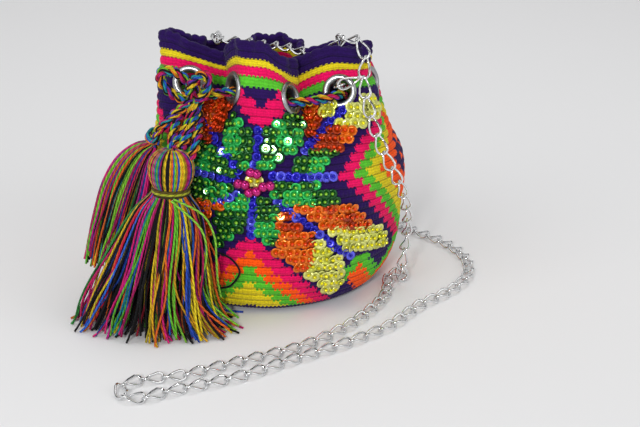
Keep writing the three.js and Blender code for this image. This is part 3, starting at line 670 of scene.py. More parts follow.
def pearl_lacquer(code):
    """Plastic pearl under a pearly lacquer: a soft glow at the edge and one clear highlight."""
    material, tree, surface = material_tree("pearl lacquer", {
        "Metallic": 0.75, "Roughness": 0.2, "Coat Weight": 0.5, "Coat Roughness": 0.12})
    if tree is None:
        return material
    where = add(tree, "ShaderNodeTexCoord")
    # Swirls of lacquer of about 2 mm
    swirl = add(tree, "ShaderNodeTexNoise", {"Scale": 500.0, "Detail": 2.0, "Distortion": 0.8},
                {"Vector": where.outputs["Object"]})
    ramp = add(tree, "ShaderNodeValToRGB", links={0: swirl.outputs[0]})
    for stop, place, tone in zip(ramp.color_ramp.elements, (0.35, 0.7), (0.7, 1.2)):
        stop.position = place
        stop.color = (*(min(tone * part, 1) for part in code), 1)
    tree.links.new(ramp.outputs[0], surface.inputs["Base Color"])
    return material


def matt_paper(floor):
    """Seamless studio paper: pale and matt, with painted light that makes it paler towards the back."""
    material, tree, surface = material_tree("matt paper", {"Roughness": 0.95, "Specular IOR Level": 0.1})
    if tree is None:
        return material
    where = add(tree, "ShaderNodeTexCoord")
    # Painted light: paler towards the back, by about 0.3 of its tone in a metre
    split = add(tree, "ShaderNodeSeparateXYZ", links={0: where.outputs["Object"]})
    tone = add(tree, "ShaderNodeMapRange",
               {"From Min": -0.2, "From Max": 0.9, "To Min": 0.87, "To Max": 1.2},
               {"Value": split.outputs[1]})
    shade = add(tree, "ShaderNodeVectorMath", {0: tuple(floor)}, {"Scale": tone.outputs[0]},
                operation="SCALE")
    tree.links.new(shade.outputs[0], surface.inputs["Base Color"])
    return material


# Stage

# Half the width of the paper, and how far it runs to the front and to the back
PAPER_HALF = 4000
PAPER_FRONT = -3000
PAPER_BACK = 5000
# Each lamp with the setting of its power, its place and its size in metres, and what all of them face
LAMPS = {
    "key softbox": ("key", (-0.75, -0.75, 1.0), 0.9),
    "fill softbox": ("fill", (0.95, -0.55, 0.7), 0.8),
    "top softbox": ("top", (0.1, 0.25, 1.3), 1.0),
    "front lamp": ("front", (-0.1, -1.05, 0.5), 0.09),
}
LAMP_TARGET = (0, 0, 0.07)
# How pale the room is near the floor, high up, and high up in a mirror
ROOM_LOW = 1.05
ROOM_HIGH = 0.45
MIRROR_HIGH = 0.02
# Camera fitted to the photograph: place and direction in metres, lens and sensor in millimetres
CAMERA_PLACE = (0.0690, -0.6795, 0.3020)
CAMERA_AHEAD = (-0.051, 0.930, -0.363)
CAMERA_LENS = 65.9
CAMERA_SENSOR = 36


def hang_lamps(scene, settings):
    """Softboxes and a small lamp, all turned to the bag."""
    for name, (setting, place, size) in LAMPS.items():
        lamp = bpy.data.lights.new(name, "AREA")
        lamp.energy = getattr(settings, setting)
        lamp.size = size
        holder = bpy.data.objects.new(name, lamp)
        holder.location = place
        facing = Vector(LAMP_TARGET) - Vector(place)
        holder.rotation_euler = facing.to_track_quat("-Z", "Y").to_euler()
        scene.collection.objects.link(holder)


def light_room(scene, settings):
    """A room that is darker above, most of all in mirrors, so that metal looks light and dark."""
    world = bpy.data.worlds.new("studio")
    scene.world = world
    world.use_nodes = True
    tree = world.node_tree
    tree.nodes.clear()
    where = add(tree, "ShaderNodeTexCoord")
    split = add(tree, "ShaderNodeSeparateXYZ", links={0: where.outputs["Generated"]})
    ray = add(tree, "ShaderNodeLightPath")
    top = add(tree, "ShaderNodeMapRange", {"To Min": ROOM_HIGH, "To Max": MIRROR_HIGH},
              {"Value": ray.outputs["Is Glossy Ray"]})
    tone = add(tree, "ShaderNodeMapRange", {"From Min": -0.1, "From Max": 0.8, "To Min": ROOM_LOW},
               {"Value": split.outputs[2], "To Max": top.outputs[0]})
    # What is seen, also in a mirror or through a piece, has the backdrop's level, and other light the sky's
    seen = ray.outputs["Is Camera Ray"]
    for kind in ("Is Glossy Ray", "Is Transmission Ray"):
        either = add(tree, "ShaderNodeMath", links={0: seen, 1: ray.outputs[kind]}, operation="MAXIMUM")
        seen = either.outputs[0]
    level = add(tree, "ShaderNodeMapRange", {"To Min": settings.sky, "To Max": settings.backdrop},
                {"Value": seen})
    power = add(tree, "ShaderNodeMath", links={0: tone.outputs[0], 1: level.outputs[0]},
                operation="MULTIPLY")
    sky = add(tree, "ShaderNodeBackground", {"Color": (1, 1, 1, 1)}, {"Strength": power.outputs[0]})
    add(tree, "ShaderNodeOutputWorld", links={"Surface": sky.outputs[0]})


def set_camera(scene):
    """A level camera that looks down on the bag."""
    camera = bpy.data.cameras.new("camera")
    camera.lens = CAMERA_LENS
    camera.sensor_width = CAMERA_SENSOR
    camera.sensor_fit = "HORIZONTAL"
    camera.clip_start = 0.01
    holder = bpy.data.objects.new("camera", camera)
    ahead = Vector(CAMERA_AHEAD).normalized()
    right = ahead.cross(Vector((0, 0, 1))).normalized()
    turn = Matrix((right, right.cross(ahead), -ahead)).transposed()
    holder.matrix_world = Matrix.Translation(CAMERA_PLACE) @ turn.to_4x4()
    scene.collection.objects.link(holder)
    scene.camera = holder


class BAG_OT_stage(bpy.types.Operator):
    """Lay the paper, hang the softboxes and set the camera"""
    bl_idname = "bag.stage"
    bl_label = "Stage"

    def execute(self, context):
        scene = context.scene
        settings = scene.bag_stage
        scene.view_settings.view_transform = "Standard"
        corners = [(-PAPER_HALF, PAPER_FRONT, 0), (PAPER_HALF, PAPER_FRONT, 0),
                   (PAPER_HALF, PAPER_BACK, 0), (-PAPER_HALF, PAPER_BACK, 0)]
        mesh_piece("floor", corners, [(0, 1, 2, 3)], matt_paper(settings.floor))
        hang_lamps(scene, settings)
        light_room(scene, settings)
        set_camera(scene)
        return {"FINISHED"}


# Drawstring and bow

# Knot of the bow: its angle, how far it lies below the eyelets and off the wall, and the size of its turns
KNOT_ANGLE = -42
KNOT_DROP = 9
KNOT_OUT = 10
KNOT_TURN = 1.75
KNOT_DEPTH = 3.2
# Loops of the bow: angle over the horizon, reach, width and bulge, first of their yarns and solid
BOW_LOOPS = {
    "bow.loop.left": ((137, 23, 11.5, 5), 4, "bow_loop_left"),
    "bow.loop.right": ((62, 18, 9, 11), 8, "bow_loop_right"),
}
# The cord waves in and out between two eyelets, lies below their middles and runs straight through them
CORD_WAVE = 3.4
CORD_DROP = 2
CORD_STRAIGHT = 5
# Plies of a cord and strands of a ply, and how far both lie out, as shares of the cord's half thickness
PLIES = 3
PLY_STRANDS = 4
PLY_REACH = 0.59
STRAND_REACH = 0.25
# A free cord is a little thicker than a knotted one
FREE_CORD = 1.12
# One strand's share of the cord's thickness, its sides, and a least length that the run of each stretch is
# compared with
STRAND_SHARE = 0.25
STRAND_SIDES = 5
CORD_SHORTEST = 30.5
# Places on the tassels: angle, drop below the rim and distance off the wall
FRONT_TOP = (-32.6, 61.6, 21)
FRONT_NECK = (-32.6, 75.6, 17)
REAR_NECK = (-52.2, 54.4, 9.8)
# Tails from the knot down: such places, the first of their yarns and the solid that they stand for
TAILS = {
    "tassel.front.tail": (((-37.2, 49.6, 13), FRONT_TOP), 8, "tassel_front_tail"),
    "tassel.front.tail.left": (((-43, 45, 13), (-38.5, 54, 17), FRONT_TOP), 4, None),
    "tassel.front.tail.right": (
        ((-37.5, 42.5, 8), (-32, 51, 11), (-25.4, 58.5, 14), (-27.5, 64.5, 15)), 0, None),
    "tassel.front.tail.middle": (((-38.5, 43, 12), (-33.5, 52, 15), (-29.5, 61, 19)), 8, None),
    "tassel.rear.tail": (((-47, 45, 10), REAR_NECK), 0, "tassel_rear_tail"),
    "tassel.rear.tail.second": (((-43.5, 42, 15), (-45.5, 50, 17), (-46, 57.5, 14)), 5, None),
}
# Four yarns for each ply
CORD_YARNS = [
    "DCB41C", "E0C42A", "100E14", "E07C1C",
    "2458C4", "1E8E98", "100E14", "74B82C",
    "BC1874", "C21C4C", "100E14", "5A2A9A",
]


def cord_route(wall):
    """The drawstring's way from the knot through every eyelet and back, and the knot's middle."""
    knot = wall.offset(KNOT_ANGLE, wall.eyelet_level - KNOT_DROP, KNOT_OUT)
    rings = list(wall.eyelets())
    first = next(i for i, ring in enumerate(rings) if ring[0] > KNOT_ANGLE)
    rings = rings[first:] + rings[:first]
    spots = [(angle, middle - [0, 0, CORD_DROP], axis) for angle, middle, axis in rings]
    halves = [knot]
    for (angle, here, _), (_, there, _) in zip(spots, spots[1:]):
        turn = math.radians(angle + 180 / EYELETS)
        out = np.array([math.sin(turn), -math.cos(turn), 0])
        halves.append((here + there) / 2 - CORD_WAVE * math.cos(LOBES * turn) * out)
    halves.append(knot)
    route = [knot]
    for i, (_, here, axis) in enumerate(spots):
        along = unit(halves[i + 1] - halves[i])
        through = axis * np.sign(axis @ along)
        way = CORD_STRAIGHT * unit(along * 0.45 + through * 0.55)
        route += [here - way, here, here + way, halves[i + 1]]
    return np.array(route), knot


def bow_loop(knot, angle, reach, width, out):
    """A loop that leaves the knot at an angle over the horizon and bulges to the front."""
    turn = np.linspace(0, 2 * math.pi, 17)[:, None]
    along = np.array([math.cos(math.radians(angle)), 0, math.sin(math.radians(angle))])
    across = np.array([-along[2], 0, along[0]])
    return (knot + along * reach * (1 - np.cos(turn)) / 2 + across * width / 2 * np.sin(turn)
            - np.array([0, 1, 0]) * out * np.sin(turn / 2))


def laid_cord(path, shape, yarns, full=FREE_CORD):
    """Strands of a cord, laid in plies along a path, each with its colour."""
    fine, run = spaced(path, 0.75)
    radius = shape.diameter * 500 * full
    side, lift = carried(fine)
    reach = np.linspace(0, run, len(fine))
    strands = []
    for ply in range(PLIES):
        turn = 2 * math.pi * (reach / (shape.cord_turn * 1000) + ply / PLIES)
        for strand in range(PLY_STRANDS):
            roll = turn - 2 * math.pi * (reach / (shape.ply_turn * 1000) + strand / PLY_STRANDS)
            x = PLY_REACH * radius * np.cos(turn) + STRAND_REACH * radius * np.cos(roll)
            y = PLY_REACH * radius * np.sin(turn) + STRAND_REACH * radius * np.sin(roll)
            line = fine + side * x[:, None] + lift * y[:, None]
            strands.append((line, linear(yarns[PLY_STRANDS * ply + strand])))
    return strands


class BAG_OT_drawstring(bpy.types.Operator):
    """Lay the drawstring through the eyelets, with its knot, bow and tails"""
    bl_idname = "bag.drawstring"
    bl_label = "Drawstring and bow"

    def execute(self, context):
        shape = context.scene.bag_cord
        wall = Wall(context.scene.bag_shape)
        yarn = cotton_yarn()
        strand = shape.diameter * 1000 * STRAND_SHARE
        route, knot = cord_route(wall)
        # Each way with its lay, the first of its yarns and the solid that it stands for
        ways = {
            "drawstring.cord": (flowing(route, 10), "taut", 0, "drawstring"),
        }
        for name, (sizes, first, node) in BOW_LOOPS.items():
            ways[name] = (flowing(bow_loop(knot, *sizes), 6), "loose", first, node)
        for name, (spots, first, node) in TAILS.items():
            way = flowing([knot, *(wall.below_rim(*spot) for spot in spots)], 12)
            ways[name] = (way, "hanging", first, node)
        for name, (way, lay, first, node) in ways.items():
            yarns = CORD_YARNS[first:] + CORD_YARNS[:first]
            piece = yarn_piece(name, laid_cord(way, shape, yarns), strand, STRAND_SIDES, yarn)
            settle(piece, "cord_yarn", *([node] if node else []))
            stops, run = spaced(way, 2.0)
            if run >= CORD_SHORTEST:
                [tuple(p) for p in stops / 1000]
        # The knot is the cord wound over itself
        turn = np.linspace(0, 2 * math.pi, 90)
        wound = knot + np.stack([
            KNOT_TURN * (np.sin(turn) + 2 * np.sin(2 * turn)),
            -KNOT_DEPTH * np.sin(3 * turn),
            KNOT_TURN * (np.cos(turn) - 2 * np.cos(2 * turn)),
        ], axis=1)
        tied = laid_cord(wound, shape, CORD_YARNS, 1.0)
        piece = yarn_piece("drawstring.knot", tied, strand, STRAND_SIDES, yarn)
        settle(piece, "cord_yarn", "drawstring_knot")
        return {"FINISHED"}


# Tassels

# Yarns of both tassels; the last one is the dark yarn of the tassels, which also fills the inside more often
# as painted shade
TASSEL_YARNS = [
    "DCB81A", "E4CA20", "D8A014", "D8601A", "64BC2C", "80C430", "3CA048", "128090", "2448B4", "2C62C8",
    "2458B8", "C81478", "D81C78", "C01C5C", "CC143C", "B41880", "2050B4", "CC1870", "100E14", "100E14",
    "100E14",
]
# Random painted shade of a strand, which stands in for the shade between strands: how bright a strand may be
STRAND_SHADES = (1, 1, 0.75, 0.5)
# Yarns of the bindings; their thickness, step and rise from one turn to the next, and how far they lie out
FRONT_BINDING = ("3A3414", "A8AC2A", "5A4C14")
REAR_BINDING = ("E07C1C", "2458C4", "1E8E98")
BINDING_THICK = 1.7
BINDING_STEP = 1.35
BINDING_RISE = 1.4
BINDING_OUT = 0.6
BINDING_SIDES = 6
# Front tassel: width of its head and neck, width and depth of its skirt on the floor, how far that bows out
HEAD_WIDTH = 26
NECK_WIDTH = 18
SKIRT_WIDTH = 93
SKIRT_DEPTH = 42
SKIRT_BOW = 4
# The way the skirt faces, the middle of its end round the bag and out of the belly, and steps of a strand
SKIRT_FACING = -6
SKIRT_END = (-32.7, 28, 0)
SKIRT_STEPS = 12
# Outline of the head: share of its height over the neck, and of its half width
HEAD_PROFILE = ((0.97, 0.5), (0.86, 0.8), (0.7, 0.97), (0.5, 1.0), (0.32, 0.93), (0.18, 0.8))
# Layers: share of the strands, and how far out they lie at the front, or in depth at the rear; this also
# sets how much painted shade they take
FRONT_LAYERS = ((0.4, 1.0), (0.35, 0.8), (0.25, 0.5))
REAR_LAYERS = ((0.4, -1), (0.3, 0), (0.3, 1))
# Share of the strands with a new colour, and of those that sway more, and how much more
FRONT_CHANGES = 0.8
REAR_CHANGES = 0.85
WILD_SHARE = 0.07
WILD_SWAY = 2.2
# Strands hang in locks, which swing aside by an angle and bend by a length
LOCK_SWING = 0.11
LOCK_BEND = 4
# How much narrower the skirt is at the bag, and how far a long strand runs out on the floor
BAG_SIDE = 0.26
RUN_OUT = 3.4
# Rear tassel: width of its neck, and the way from it to its tail
REAR_NECK_WIDTH = 6
REAR_AXIS = (3, -3, 4)
# Starts of the random draws
FRONT_SEED = 11
REAR_SEED = 12
# Light strands that stray over the bag: angle, drop below the rim and distance off the wall
RIM_STRAY_YARN = "8ACB3C"
RIM_STRAYS = (
    ((-28, 76, 24), (-19, 82, 19), (-16, 94, 16), (-15.4, 108, 15), (-15.2, 120, 13), (-15, 130, 10)),
    ((-28, 76.4, 26), (-19, 88, 22), (-17.4, 101, 21), (-18, 112, 22), (-20, 121, 24), (-21, 129, 26)),
)
# A dark loop on the bag: angle, level and distance off the wall
DARK_LOOP_YARN = "14121A"
DARK_LOOP = (
    (-24, 40, 4), (-18.8, 38.4, 1.9), (-13.6, 36.4, 1.9), (-10.2, 32.4, 1.9), (-9, 28.8, 1.9),
    (-10.4, 24, 1.9), (-13.4, 19.6, 1.9), (-17.4, 17.6, 1.9), (-23, 17.4, 4),
)
# Strands on the floor beside the skirt: colour, and angle round the bag and distance out of the belly
FLOOR_STRAYS = (
    ("14121A", ((-33, -4), (-20.5, -5), (-11.3, -1))),
    ("E4CA20", ((-32, -4.5), (-17.5, -5.5), (-9.9, -3))),
    ("2448B4", ((-31, -6.5), (-16.6, -8.5), (-7.9, -9))),
    ("D81C78", ((-32, 3.5), (-15.5, 3.5), (-4.6, 11))),
    ("14121A", ((-31, 5), (-16.3, 9), (-8.8, 15))),
)
FLOOR_STRAY_LEVEL = 0.8
# Outer and inner side of the slack rear tassel
REAR_SIDES = (
    ((-63.4, -42, 95.9), (-72, -43.1, 94.9), (-80.8, -44.3, 89.1), (-87.5, -45.4, 80.8),
     (-92.6, -46.6, 71.3), (-97.5, -47.7, 56), (-102, -48.9, 39.3), (-104.8, -50, 22.4)),
    ((-59.5, -48, 93.6), (-60.5, -52, 89), (-61.5, -56, 81.4), (-63, -59, 70.1),
     (-67, -60, 55.6), (-74, -61, 37.8), (-79, -62, 24.3)),
)


def shaded_yarn(code, share):
    """Linear colour of a yarn, darkened to a share by painted shade."""
    return tuple(share * part for part in linear(code))


def slack_strands(start, number, seed):
    """Strands that leave one place and droop in a flat sheaf between two sides, each with its colour."""
    rng = np.random.default_rng(seed)
    sides = []
    for side in REAR_SIDES:
        path = flowing(side, 8)
        _, run = spaced(path, 5)
        sides.append(spaced(path, run / SKIRT_STEPS)[0])
    share = np.linspace(0, 1, SKIRT_STEPS + 1)
    strands = []
    for part, depth in REAR_LAYERS:
        shade = rng.integers(len(TASSEL_YARNS))
        for i in range(round(number * part)):
            if rng.uniform() < REAR_CHANGES:
                shade = rng.integers(len(TASSEL_YARNS))
            across = (i + rng.uniform(-0.4, 0.4)) / round(number * part)
            line = sides[0] + (sides[1] - sides[0]) * across
            aside = depth * (1 - 0.5 * abs(2 * across - 1)) + rng.uniform(-0.3, 0.3)
            thick = (2 + 5 * share ** 0.6) * aside
            sway = rng.normal(0, 1, 2)
            wave = sway[0] * np.sin(4.5 * share + sway[1]) * 2 * share
            line = line + np.stack([wave, thick, 0.3 * wave - 0.1 * thick], axis=1)
            reach = share * rng.uniform(0.88, 1.0)
            line = np.stack([np.interp(reach, share, line[:, k]) for k in range(3)], axis=1)
            first = start + unit(rng.normal(0, 1, 3)) * 3
            # The layers behind the front one take more painted shade
            painted_shade = rng.choice(STRAND_SHADES) * (1 if depth < 0 else 0.7)
            strands.append((flowing(np.concatenate([[first], line]), 3), shaded_yarn(TASSEL_YARNS[shade], painted_shade)))
    return strands


def tassel_strands(top, neck, centre, total, width, seed):
    """Strands, with colours, that wrap a head in layers, pass its binding and spread out below."""
    rng = np.random.default_rng(seed)
    axis = top - neck
    tall = np.linalg.norm(axis)
    axis = axis / tall
    facing = math.radians(SKIRT_FACING)
    out = np.array([math.sin(facing), -math.cos(facing), 0])
    across = np.array([out[1], -out[0], 0])
    side = unit(across - axis * (across @ axis))
    deep = np.cross(axis, side)
    below = neck - axis * 0.6
    half, thin = (HEAD_WIDTH - width) / 2, (NECK_WIDTH - width) / 2
    strands = []
    for part, shell in FRONT_LAYERS:
        number = round(total * part)
        shade, painted_shade = 0, 1
        for i in range(number):
            # One strand in five has the colour of the one before it
            if rng.uniform() < FRONT_CHANGES:
                # Inner layers take the dark yarn more often: painted shade in the depth of the tassel
                shade = rng.integers(len(TASSEL_YARNS)) if rng.uniform() < 0.4 + 0.6 * shell else -1
                # Random painted shade, deeper in the inner layers
                painted_shade = rng.choice(STRAND_SHADES) * (0.4 + 0.6 * shell)
            turn = 2 * math.pi * (i + rng.uniform(-0.35, 0.35)) / number
            around = side * math.cos(turn) + deep * math.sin(turn)
            # Every second strand of the head lies under its neighbours
            under = shell * (0.9 if i % 2 else 1) + rng.uniform(-0.03, 0)
            line = [top + axis * rng.uniform(-0.8, 0.4) + around * half * 0.18]
            for share, reach in HEAD_PROFILE:
                line.append(neck + axis * tall * share + around * half * reach * under)
            line.append(neck + axis * 2 + around * thin * shell)
            reach = min(shell + rng.uniform(-0.12, 0.06), 1.04)
            far = rng.uniform(0.92, 1.03)
            sway = rng.normal(0, 1, (3, 2)) * (WILD_SWAY if rng.uniform() < WILD_SHARE else 1)
            lock = turn + LOCK_SWING * math.sin(13 * turn + 2 * math.sin(2 * turn))
            bend = LOCK_BEND * math.sin(5 * turn + 1.5 * math.sin(3 * turn) + 6 * shell)
            for step in range(1, SKIRT_STEPS + 1):
                share = step / SKIRT_STEPS * far
                hung = min(share, 1)
                flare = 0.2 * (1 - math.exp(-share / 0.06)) + 0.8 * hung
                spot = below + (centre - below) * hung + out * SKIRT_BOW * math.sin(math.pi * hung)
                wide = thin + (SKIRT_WIDTH / 2 - thin) * flare
                thick = thin + (SKIRT_DEPTH / 2 - thin) * flare
                side_turn = turn + (lock - turn) * share
                # The side at the bag hangs straighter and turns out near the floor
                wide *= 1 - BAG_SIDE * max(-math.cos(side_turn), 0) * math.sin(math.pi * hung ** 1.9)
                spread = across * wide * reach * math.cos(side_turn)
                spread = spread + out * thick * reach * math.sin(side_turn)
                spread = spread - axis * (1 - hung) * (spread @ axis)
                wave = sum(sway[k, 0] * math.sin((k + 1.3) * 2.2 * share + sway[k, 1]) for k in range(3))
                sideways = share * (1.9 * wave + bend * math.sin(3.4 * share))
                spot = spot + spread + across * sideways + out * wave * 0.9 * share
                # A strand that reaches the floor runs out over it
                if share > 1:
                    away = spread / np.linalg.norm(spread) * 0.8 + out * 0.3
                    spot = spot + away * tall * RUN_OUT * (share - 1)
                line.append(spot)
            strands.append((raised(flowing(line, 2), width), shaded_yarn(TASSEL_YARNS[shade], painted_shade)))
    return strands


def raised(line, width):
    """A line kept clear of the floor by half its strand's width."""
    line[:, 2] = np.maximum(line[:, 2], width / 2 + 0.02)
    return line


def wrapped(middle, axis, radius, tall):
    """A thread wound once round a neck, rising as it goes."""
    side = unit(np.cross(axis, [0, 1, 0]))
    deep = np.cross(axis, side)
    turn = np.linspace(0, 2 * math.pi, 26)
    rise = np.linspace(0, tall, len(turn))
    bulge = radius + 0.5 * np.sin(np.pi * rise / tall)
    return (middle + axis * rise[:, None] + side * (bulge * np.cos(turn))[:, None]
            + deep * (bulge * np.sin(turn))[:, None])


class BAG_OT_tassels(bpy.types.Operator):
    """Make the two tassels of loose strands"""
    bl_idname = "bag.tassels"
    bl_label = "Tassels"

    def execute(self, context):
        shape = context.scene.bag_cord
        wall = Wall(context.scene.bag_shape)
        yarn = cotton_yarn()
        rim, width = wall.below_rim, shape.strand * 1000
        top, neck, slack = rim(*FRONT_TOP), rim(*FRONT_NECK), rim(*REAR_NECK)
        end = wall.ground(*SKIRT_END)
        front = tassel_strands(top, neck, end, shape.front_strands, width, FRONT_SEED)
        strays = [([rim(*spot) for spot in spots], RIM_STRAY_YARN) for spots in RIM_STRAYS]
        strays.append(([wall.offset(*spot) for spot in DARK_LOOP], DARK_LOOP_YARN))
        for code, spots in FLOOR_STRAYS:
            strays.append(([wall.ground(*spot, FLOOR_STRAY_LEVEL) for spot in spots], code))
        front += [(flowing(line, 5), linear(code)) for line, code in strays]
        rear = slack_strands(slack, shape.rear_strands, REAR_SEED)
        tassels = {
            "front": (front, neck, unit(top - neck), NECK_WIDTH, FRONT_BINDING),
            "rear": (rear, slack, unit(np.array(REAR_AXIS)), REAR_NECK_WIDTH, REAR_BINDING),
        }
        for name, (strands, start, axis, waist, codes) in tassels.items():
            piece = yarn_piece("tassel." + name, strands, width, STRAND_SIDES, yarn)
            settle(piece, "tassel_yarn", f"tassel_{name}_head", f"tassel_{name}_skirt")
            threads = []
            for k, code in enumerate(codes):
                middle = start + axis * (k * BINDING_STEP - BINDING_RISE / 2)
                threads.append((wrapped(middle, axis, waist / 2 + BINDING_OUT, BINDING_RISE), linear(code)))
            piece = yarn_piece("tassel." + name + ".binding", threads, BINDING_THICK, BINDING_SIDES, yarn)
            settle(piece, "binding_yarn", f"tassel_{name}_binding")
        return {"FINISHED"}


# Chain strap

# How far the ends of a link are turned, in degrees
LINK_TWIST = 38
# Steep links face away from this place behind the bag's middle
LINK_FOCUS = 45
# The strap over the mouth: share of its way from the back to the front, how far it sags, and how far aside
MOUTH_SAGS = ((0.09, 0.4, 1), (0.19, 1, 2.5), (0.38, 3.6, 2), (0.58, 5.5, 1), (0.72, 8.5, 0), (0.82, 11, 0),
              (0.92, 8.5, 0))
# Angle of the eyelet that holds the short tie, and how its links are rolled by turns
TIE_ANGLE = 45
TIE_ROLLS = (90, 0)
# Least share of its length that a link keeps, and gaps of the strap and of a single link to the floor
LEAST_LINK = 0.9
STRAP_GAP = 0.1
LINK_GAP = 0.05


def chain_routes(wall, floor):
    """The closed strap, and the short tie through an eyelet, as lists of points."""
    rim, off = wall.below_rim, wall.offset

    def on_floor(angle, out, lift=0):
        return wall.ground(angle, out, floor + lift)

    back, front = rim(-140.7, -3, -4.6), rim(49.1, -5.7, -7.8)
    route = [rim(*spot) for spot in (
        (55.5, -6.5, -0.8), (56.2, 2.4, 5.3), (54.6, 10.2, 6.3), (53.5, 20.6, 6.1), (52.8, 32.9, 5.3),
        (52.7, 44.1, 6.3), (53, 55.7, 7.2), (55.3, 66.1, 7.7))]
    route += [off(*spot) for spot in (
        (60.5, 70.2, 8.3), (66.4, 56.6, 9.5), (71.1, 42.6, 8.9), (74.4, 29.4, 8.4), (74.9, 18, 10))]
    route += [on_floor(*spot) for spot in (
        (74.7, 9.6), (83.9, 7), (82.6, 0.1, 1), (70.9, 1.9), (60.4, 7.6), (44.1, 14.4), (27.8, 25.4),
        (13.6, 37.7), (2.7, 47.6), (-5.5, 59.1), (-12.9, 74.4), (-18.3, 82), (-21.2, 90.9), (-19.5, 101.8),
        (-15.9, 101.3), (-13, 91.3), (-6.6, 78.5), (0.8, 66.5), (9.2, 53.2), (19.1, 44.7), (29.9, 39),
        (43, 35.4), (59.7, 31.4), (68.2, 36.7), (76.5, 42.8), (85.4, 47.9), (95.5, 48.1), (104.7, 44.5),
        (112.6, 39.5), (121.7, 33), (135.8, 28.6), (153.4, 25.4), (171.9, 21.5), (-169.2, 18.2),
        (-155.1, 17.3))]
    route += [off(*spot) for spot in (
        (-144.6, 15.6, 17.8), (-140.3, 27.5, 10.3), (-139.5, 49.7, 10.7), (-139.4, 70.7, 10.7))]
    route += [rim(*spot) for spot in (
        (-138.5, 61, 15), (-136.7, 43.6, 19.7), (-135.7, 21.4, 22.2), (-136.7, 5.2, 18.7),
        (-137.5, -2.6, 9.9), (-138.4, -4.2, 3.3))]
    route.append(back)
    for share, sag, aside in MOUTH_SAGS:
        route.append(back + (front - back) * share + np.array([aside, aside, -sag]))
    route.append(front)
    _, middle, axis = next(eyelet for eyelet in wall.eyelets() if eyelet[0] == TIE_ANGLE)
    lift = unit(np.array([0, 0, 1]) - axis * axis[2])
    tie = [rim(53.1, 15.8, 8.1), middle + axis * 6.5 + lift * 2.9, middle - axis * 4.7 + lift * 2.9,
           rim(45.6, 10.6, -9.2), rim(45.9, 2.2, -10.6), rim(48.2, -5.4, -8.4)]
    return route, tie


def stepped(path, step):
    """Points of a closed path at equal straight steps, with an even number of steps."""
    fine, _ = spaced(np.concatenate([path, path[:1]]), 0.3)

    def walk(stride):
        stops = [0]
        for i in range(len(fine)):
            if np.linalg.norm(fine[i] - fine[stops[-1]]) >= stride:
                stops.append(i)
        return stops

    number = 2 * round((len(walk(step)) - 1) / 2)
    low, high = 0.9 * step, 1.1 * step
    for _ in range(16):
        middle = (low + high) / 2
        if len(walk(middle)) - 1 >= number:
            low = middle
        else:
            high = middle
    return fine[walk(low)[:number + 1]]


def curb_link(shape):
    """An oval link along +X whose two ends are turned a little out of its plane, each way."""
    rounds, sides = 20, 6
    wire = shape.wire * 500
    bend = shape.link_width * 500 - wire
    straight = (shape.link_length - shape.link_width) * 500
    turn = 2 * np.pi * np.arange(rounds) / rounds
    level = np.zeros(rounds)
    long = bend * np.cos(turn) + straight * np.tanh(3 * np.cos(turn))
    middle = np.stack([long, bend * np.sin(turn), level], axis=1)
    ahead = unit(np.roll(middle, -1, axis=0) - np.roll(middle, 1, axis=0))
    outward = np.stack([ahead[:, 1], -ahead[:, 0], level], axis=1)
    points = []
    for spot, out in zip(middle, outward):
        for j in range(sides):
            roll = 2 * math.pi * j / sides
            x, y, z = spot + wire * (out * math.cos(roll) + np.array([0, 0, 1]) * math.sin(roll))
            lean = math.radians(LINK_TWIST) * math.sin(math.pi / 2 * np.clip(x / (bend + straight), -1, 1))
            level_share, steep_share = math.cos(lean), math.sin(lean)
            points.append((x, y * level_share - z * steep_share, y * steep_share + z * level_share))
    return points, tube_faces(rounds, sides)


def linked(stops, rolls, pitch, corners):
    """Spots of links between stops, rolled by turns and kept above the floor."""
    spots = []
    for i, (here, there) in enumerate(zip(stops, stops[1:])):
        along = there - here
        stretch = np.linalg.norm(along) / pitch
        along = along / np.linalg.norm(along)
        middle = (here + there) / 2
        steep = abs(along[2])
        outward = unit(np.array([middle[0], middle[1] - LINK_FOCUS, 0])) * steep
        side = unit(np.cross(np.array([0, 0, 1 - steep]) + outward, along))
        roll = math.radians(rolls[i % len(rolls)])
        side = side * math.cos(roll) + np.cross(along, side) * math.sin(roll)
        axes = (along, side, np.cross(along, side))
        # A link that slopes down to the floor is lifted until it rests on it
        middle[2] += max(LINK_GAP - (middle[2] + (corners @ np.array(axes))[:, 2].min()), 0)
        spots.append(dict(middle=middle, axes=axes, size=(max(stretch, LEAST_LINK), 1, 1)))
    return spots


class BAG_OT_chain(bpy.types.Operator):
    """Link the chain strap along its way over the bag and the floor"""
    bl_idname = "bag.chain"
    bl_label = "Chain strap"

    def execute(self, context):
        shape = context.scene.bag_chain
        wall = Wall(context.scene.bag_shape)
        metal = bright_metal("polished silver plate", "E6E7E8", 0.04, 0.12)
        points, faces = curb_link(shape)
        lowest = -min(point[2] for point in points)
        corners = np.array(points)
        link = mesh_piece("link", points, faces, metal)
        pitch = (shape.link_length - 2 * shape.wire + shape.bite) * 1000
        route, tie = chain_routes(wall, lowest + STRAP_GAP)
        spots = linked(stepped(flowing(route, 12, True), pitch), (0,), pitch, corners)
        spots += linked(np.array(tie), TIE_ROLLS, pitch, corners)
        settle(scattered("chain.strap", link, spots, metal), "chain_metal", "chain_strap")
        return {"FINISHED"}


# Crocheted shell

# Degrees in one step of the pattern, and the rounds at the foot that are all in the ground's yarn
STEP_ANGLE = 4
FOOT_ROUNDS = 1.8
# Diamonds: steps from the front to their middle, level of it, and half their height in rounds
DIAMOND_AT = 20.5
DIAMOND_LEVEL = 81
DIAMOND_HALF = 12.6
# Levels of the tops of the mountain and of the zigzag
HILL_LEVEL = 47.5
ZIGZAG_LEVEL = 31
# At an eyelet the wall is flat within one radius, free again beyond another, and open inside a third
FLAT_RADIUS = 9.8
FREE_RADIUS = 15
OPEN_RADIUS = 7.2
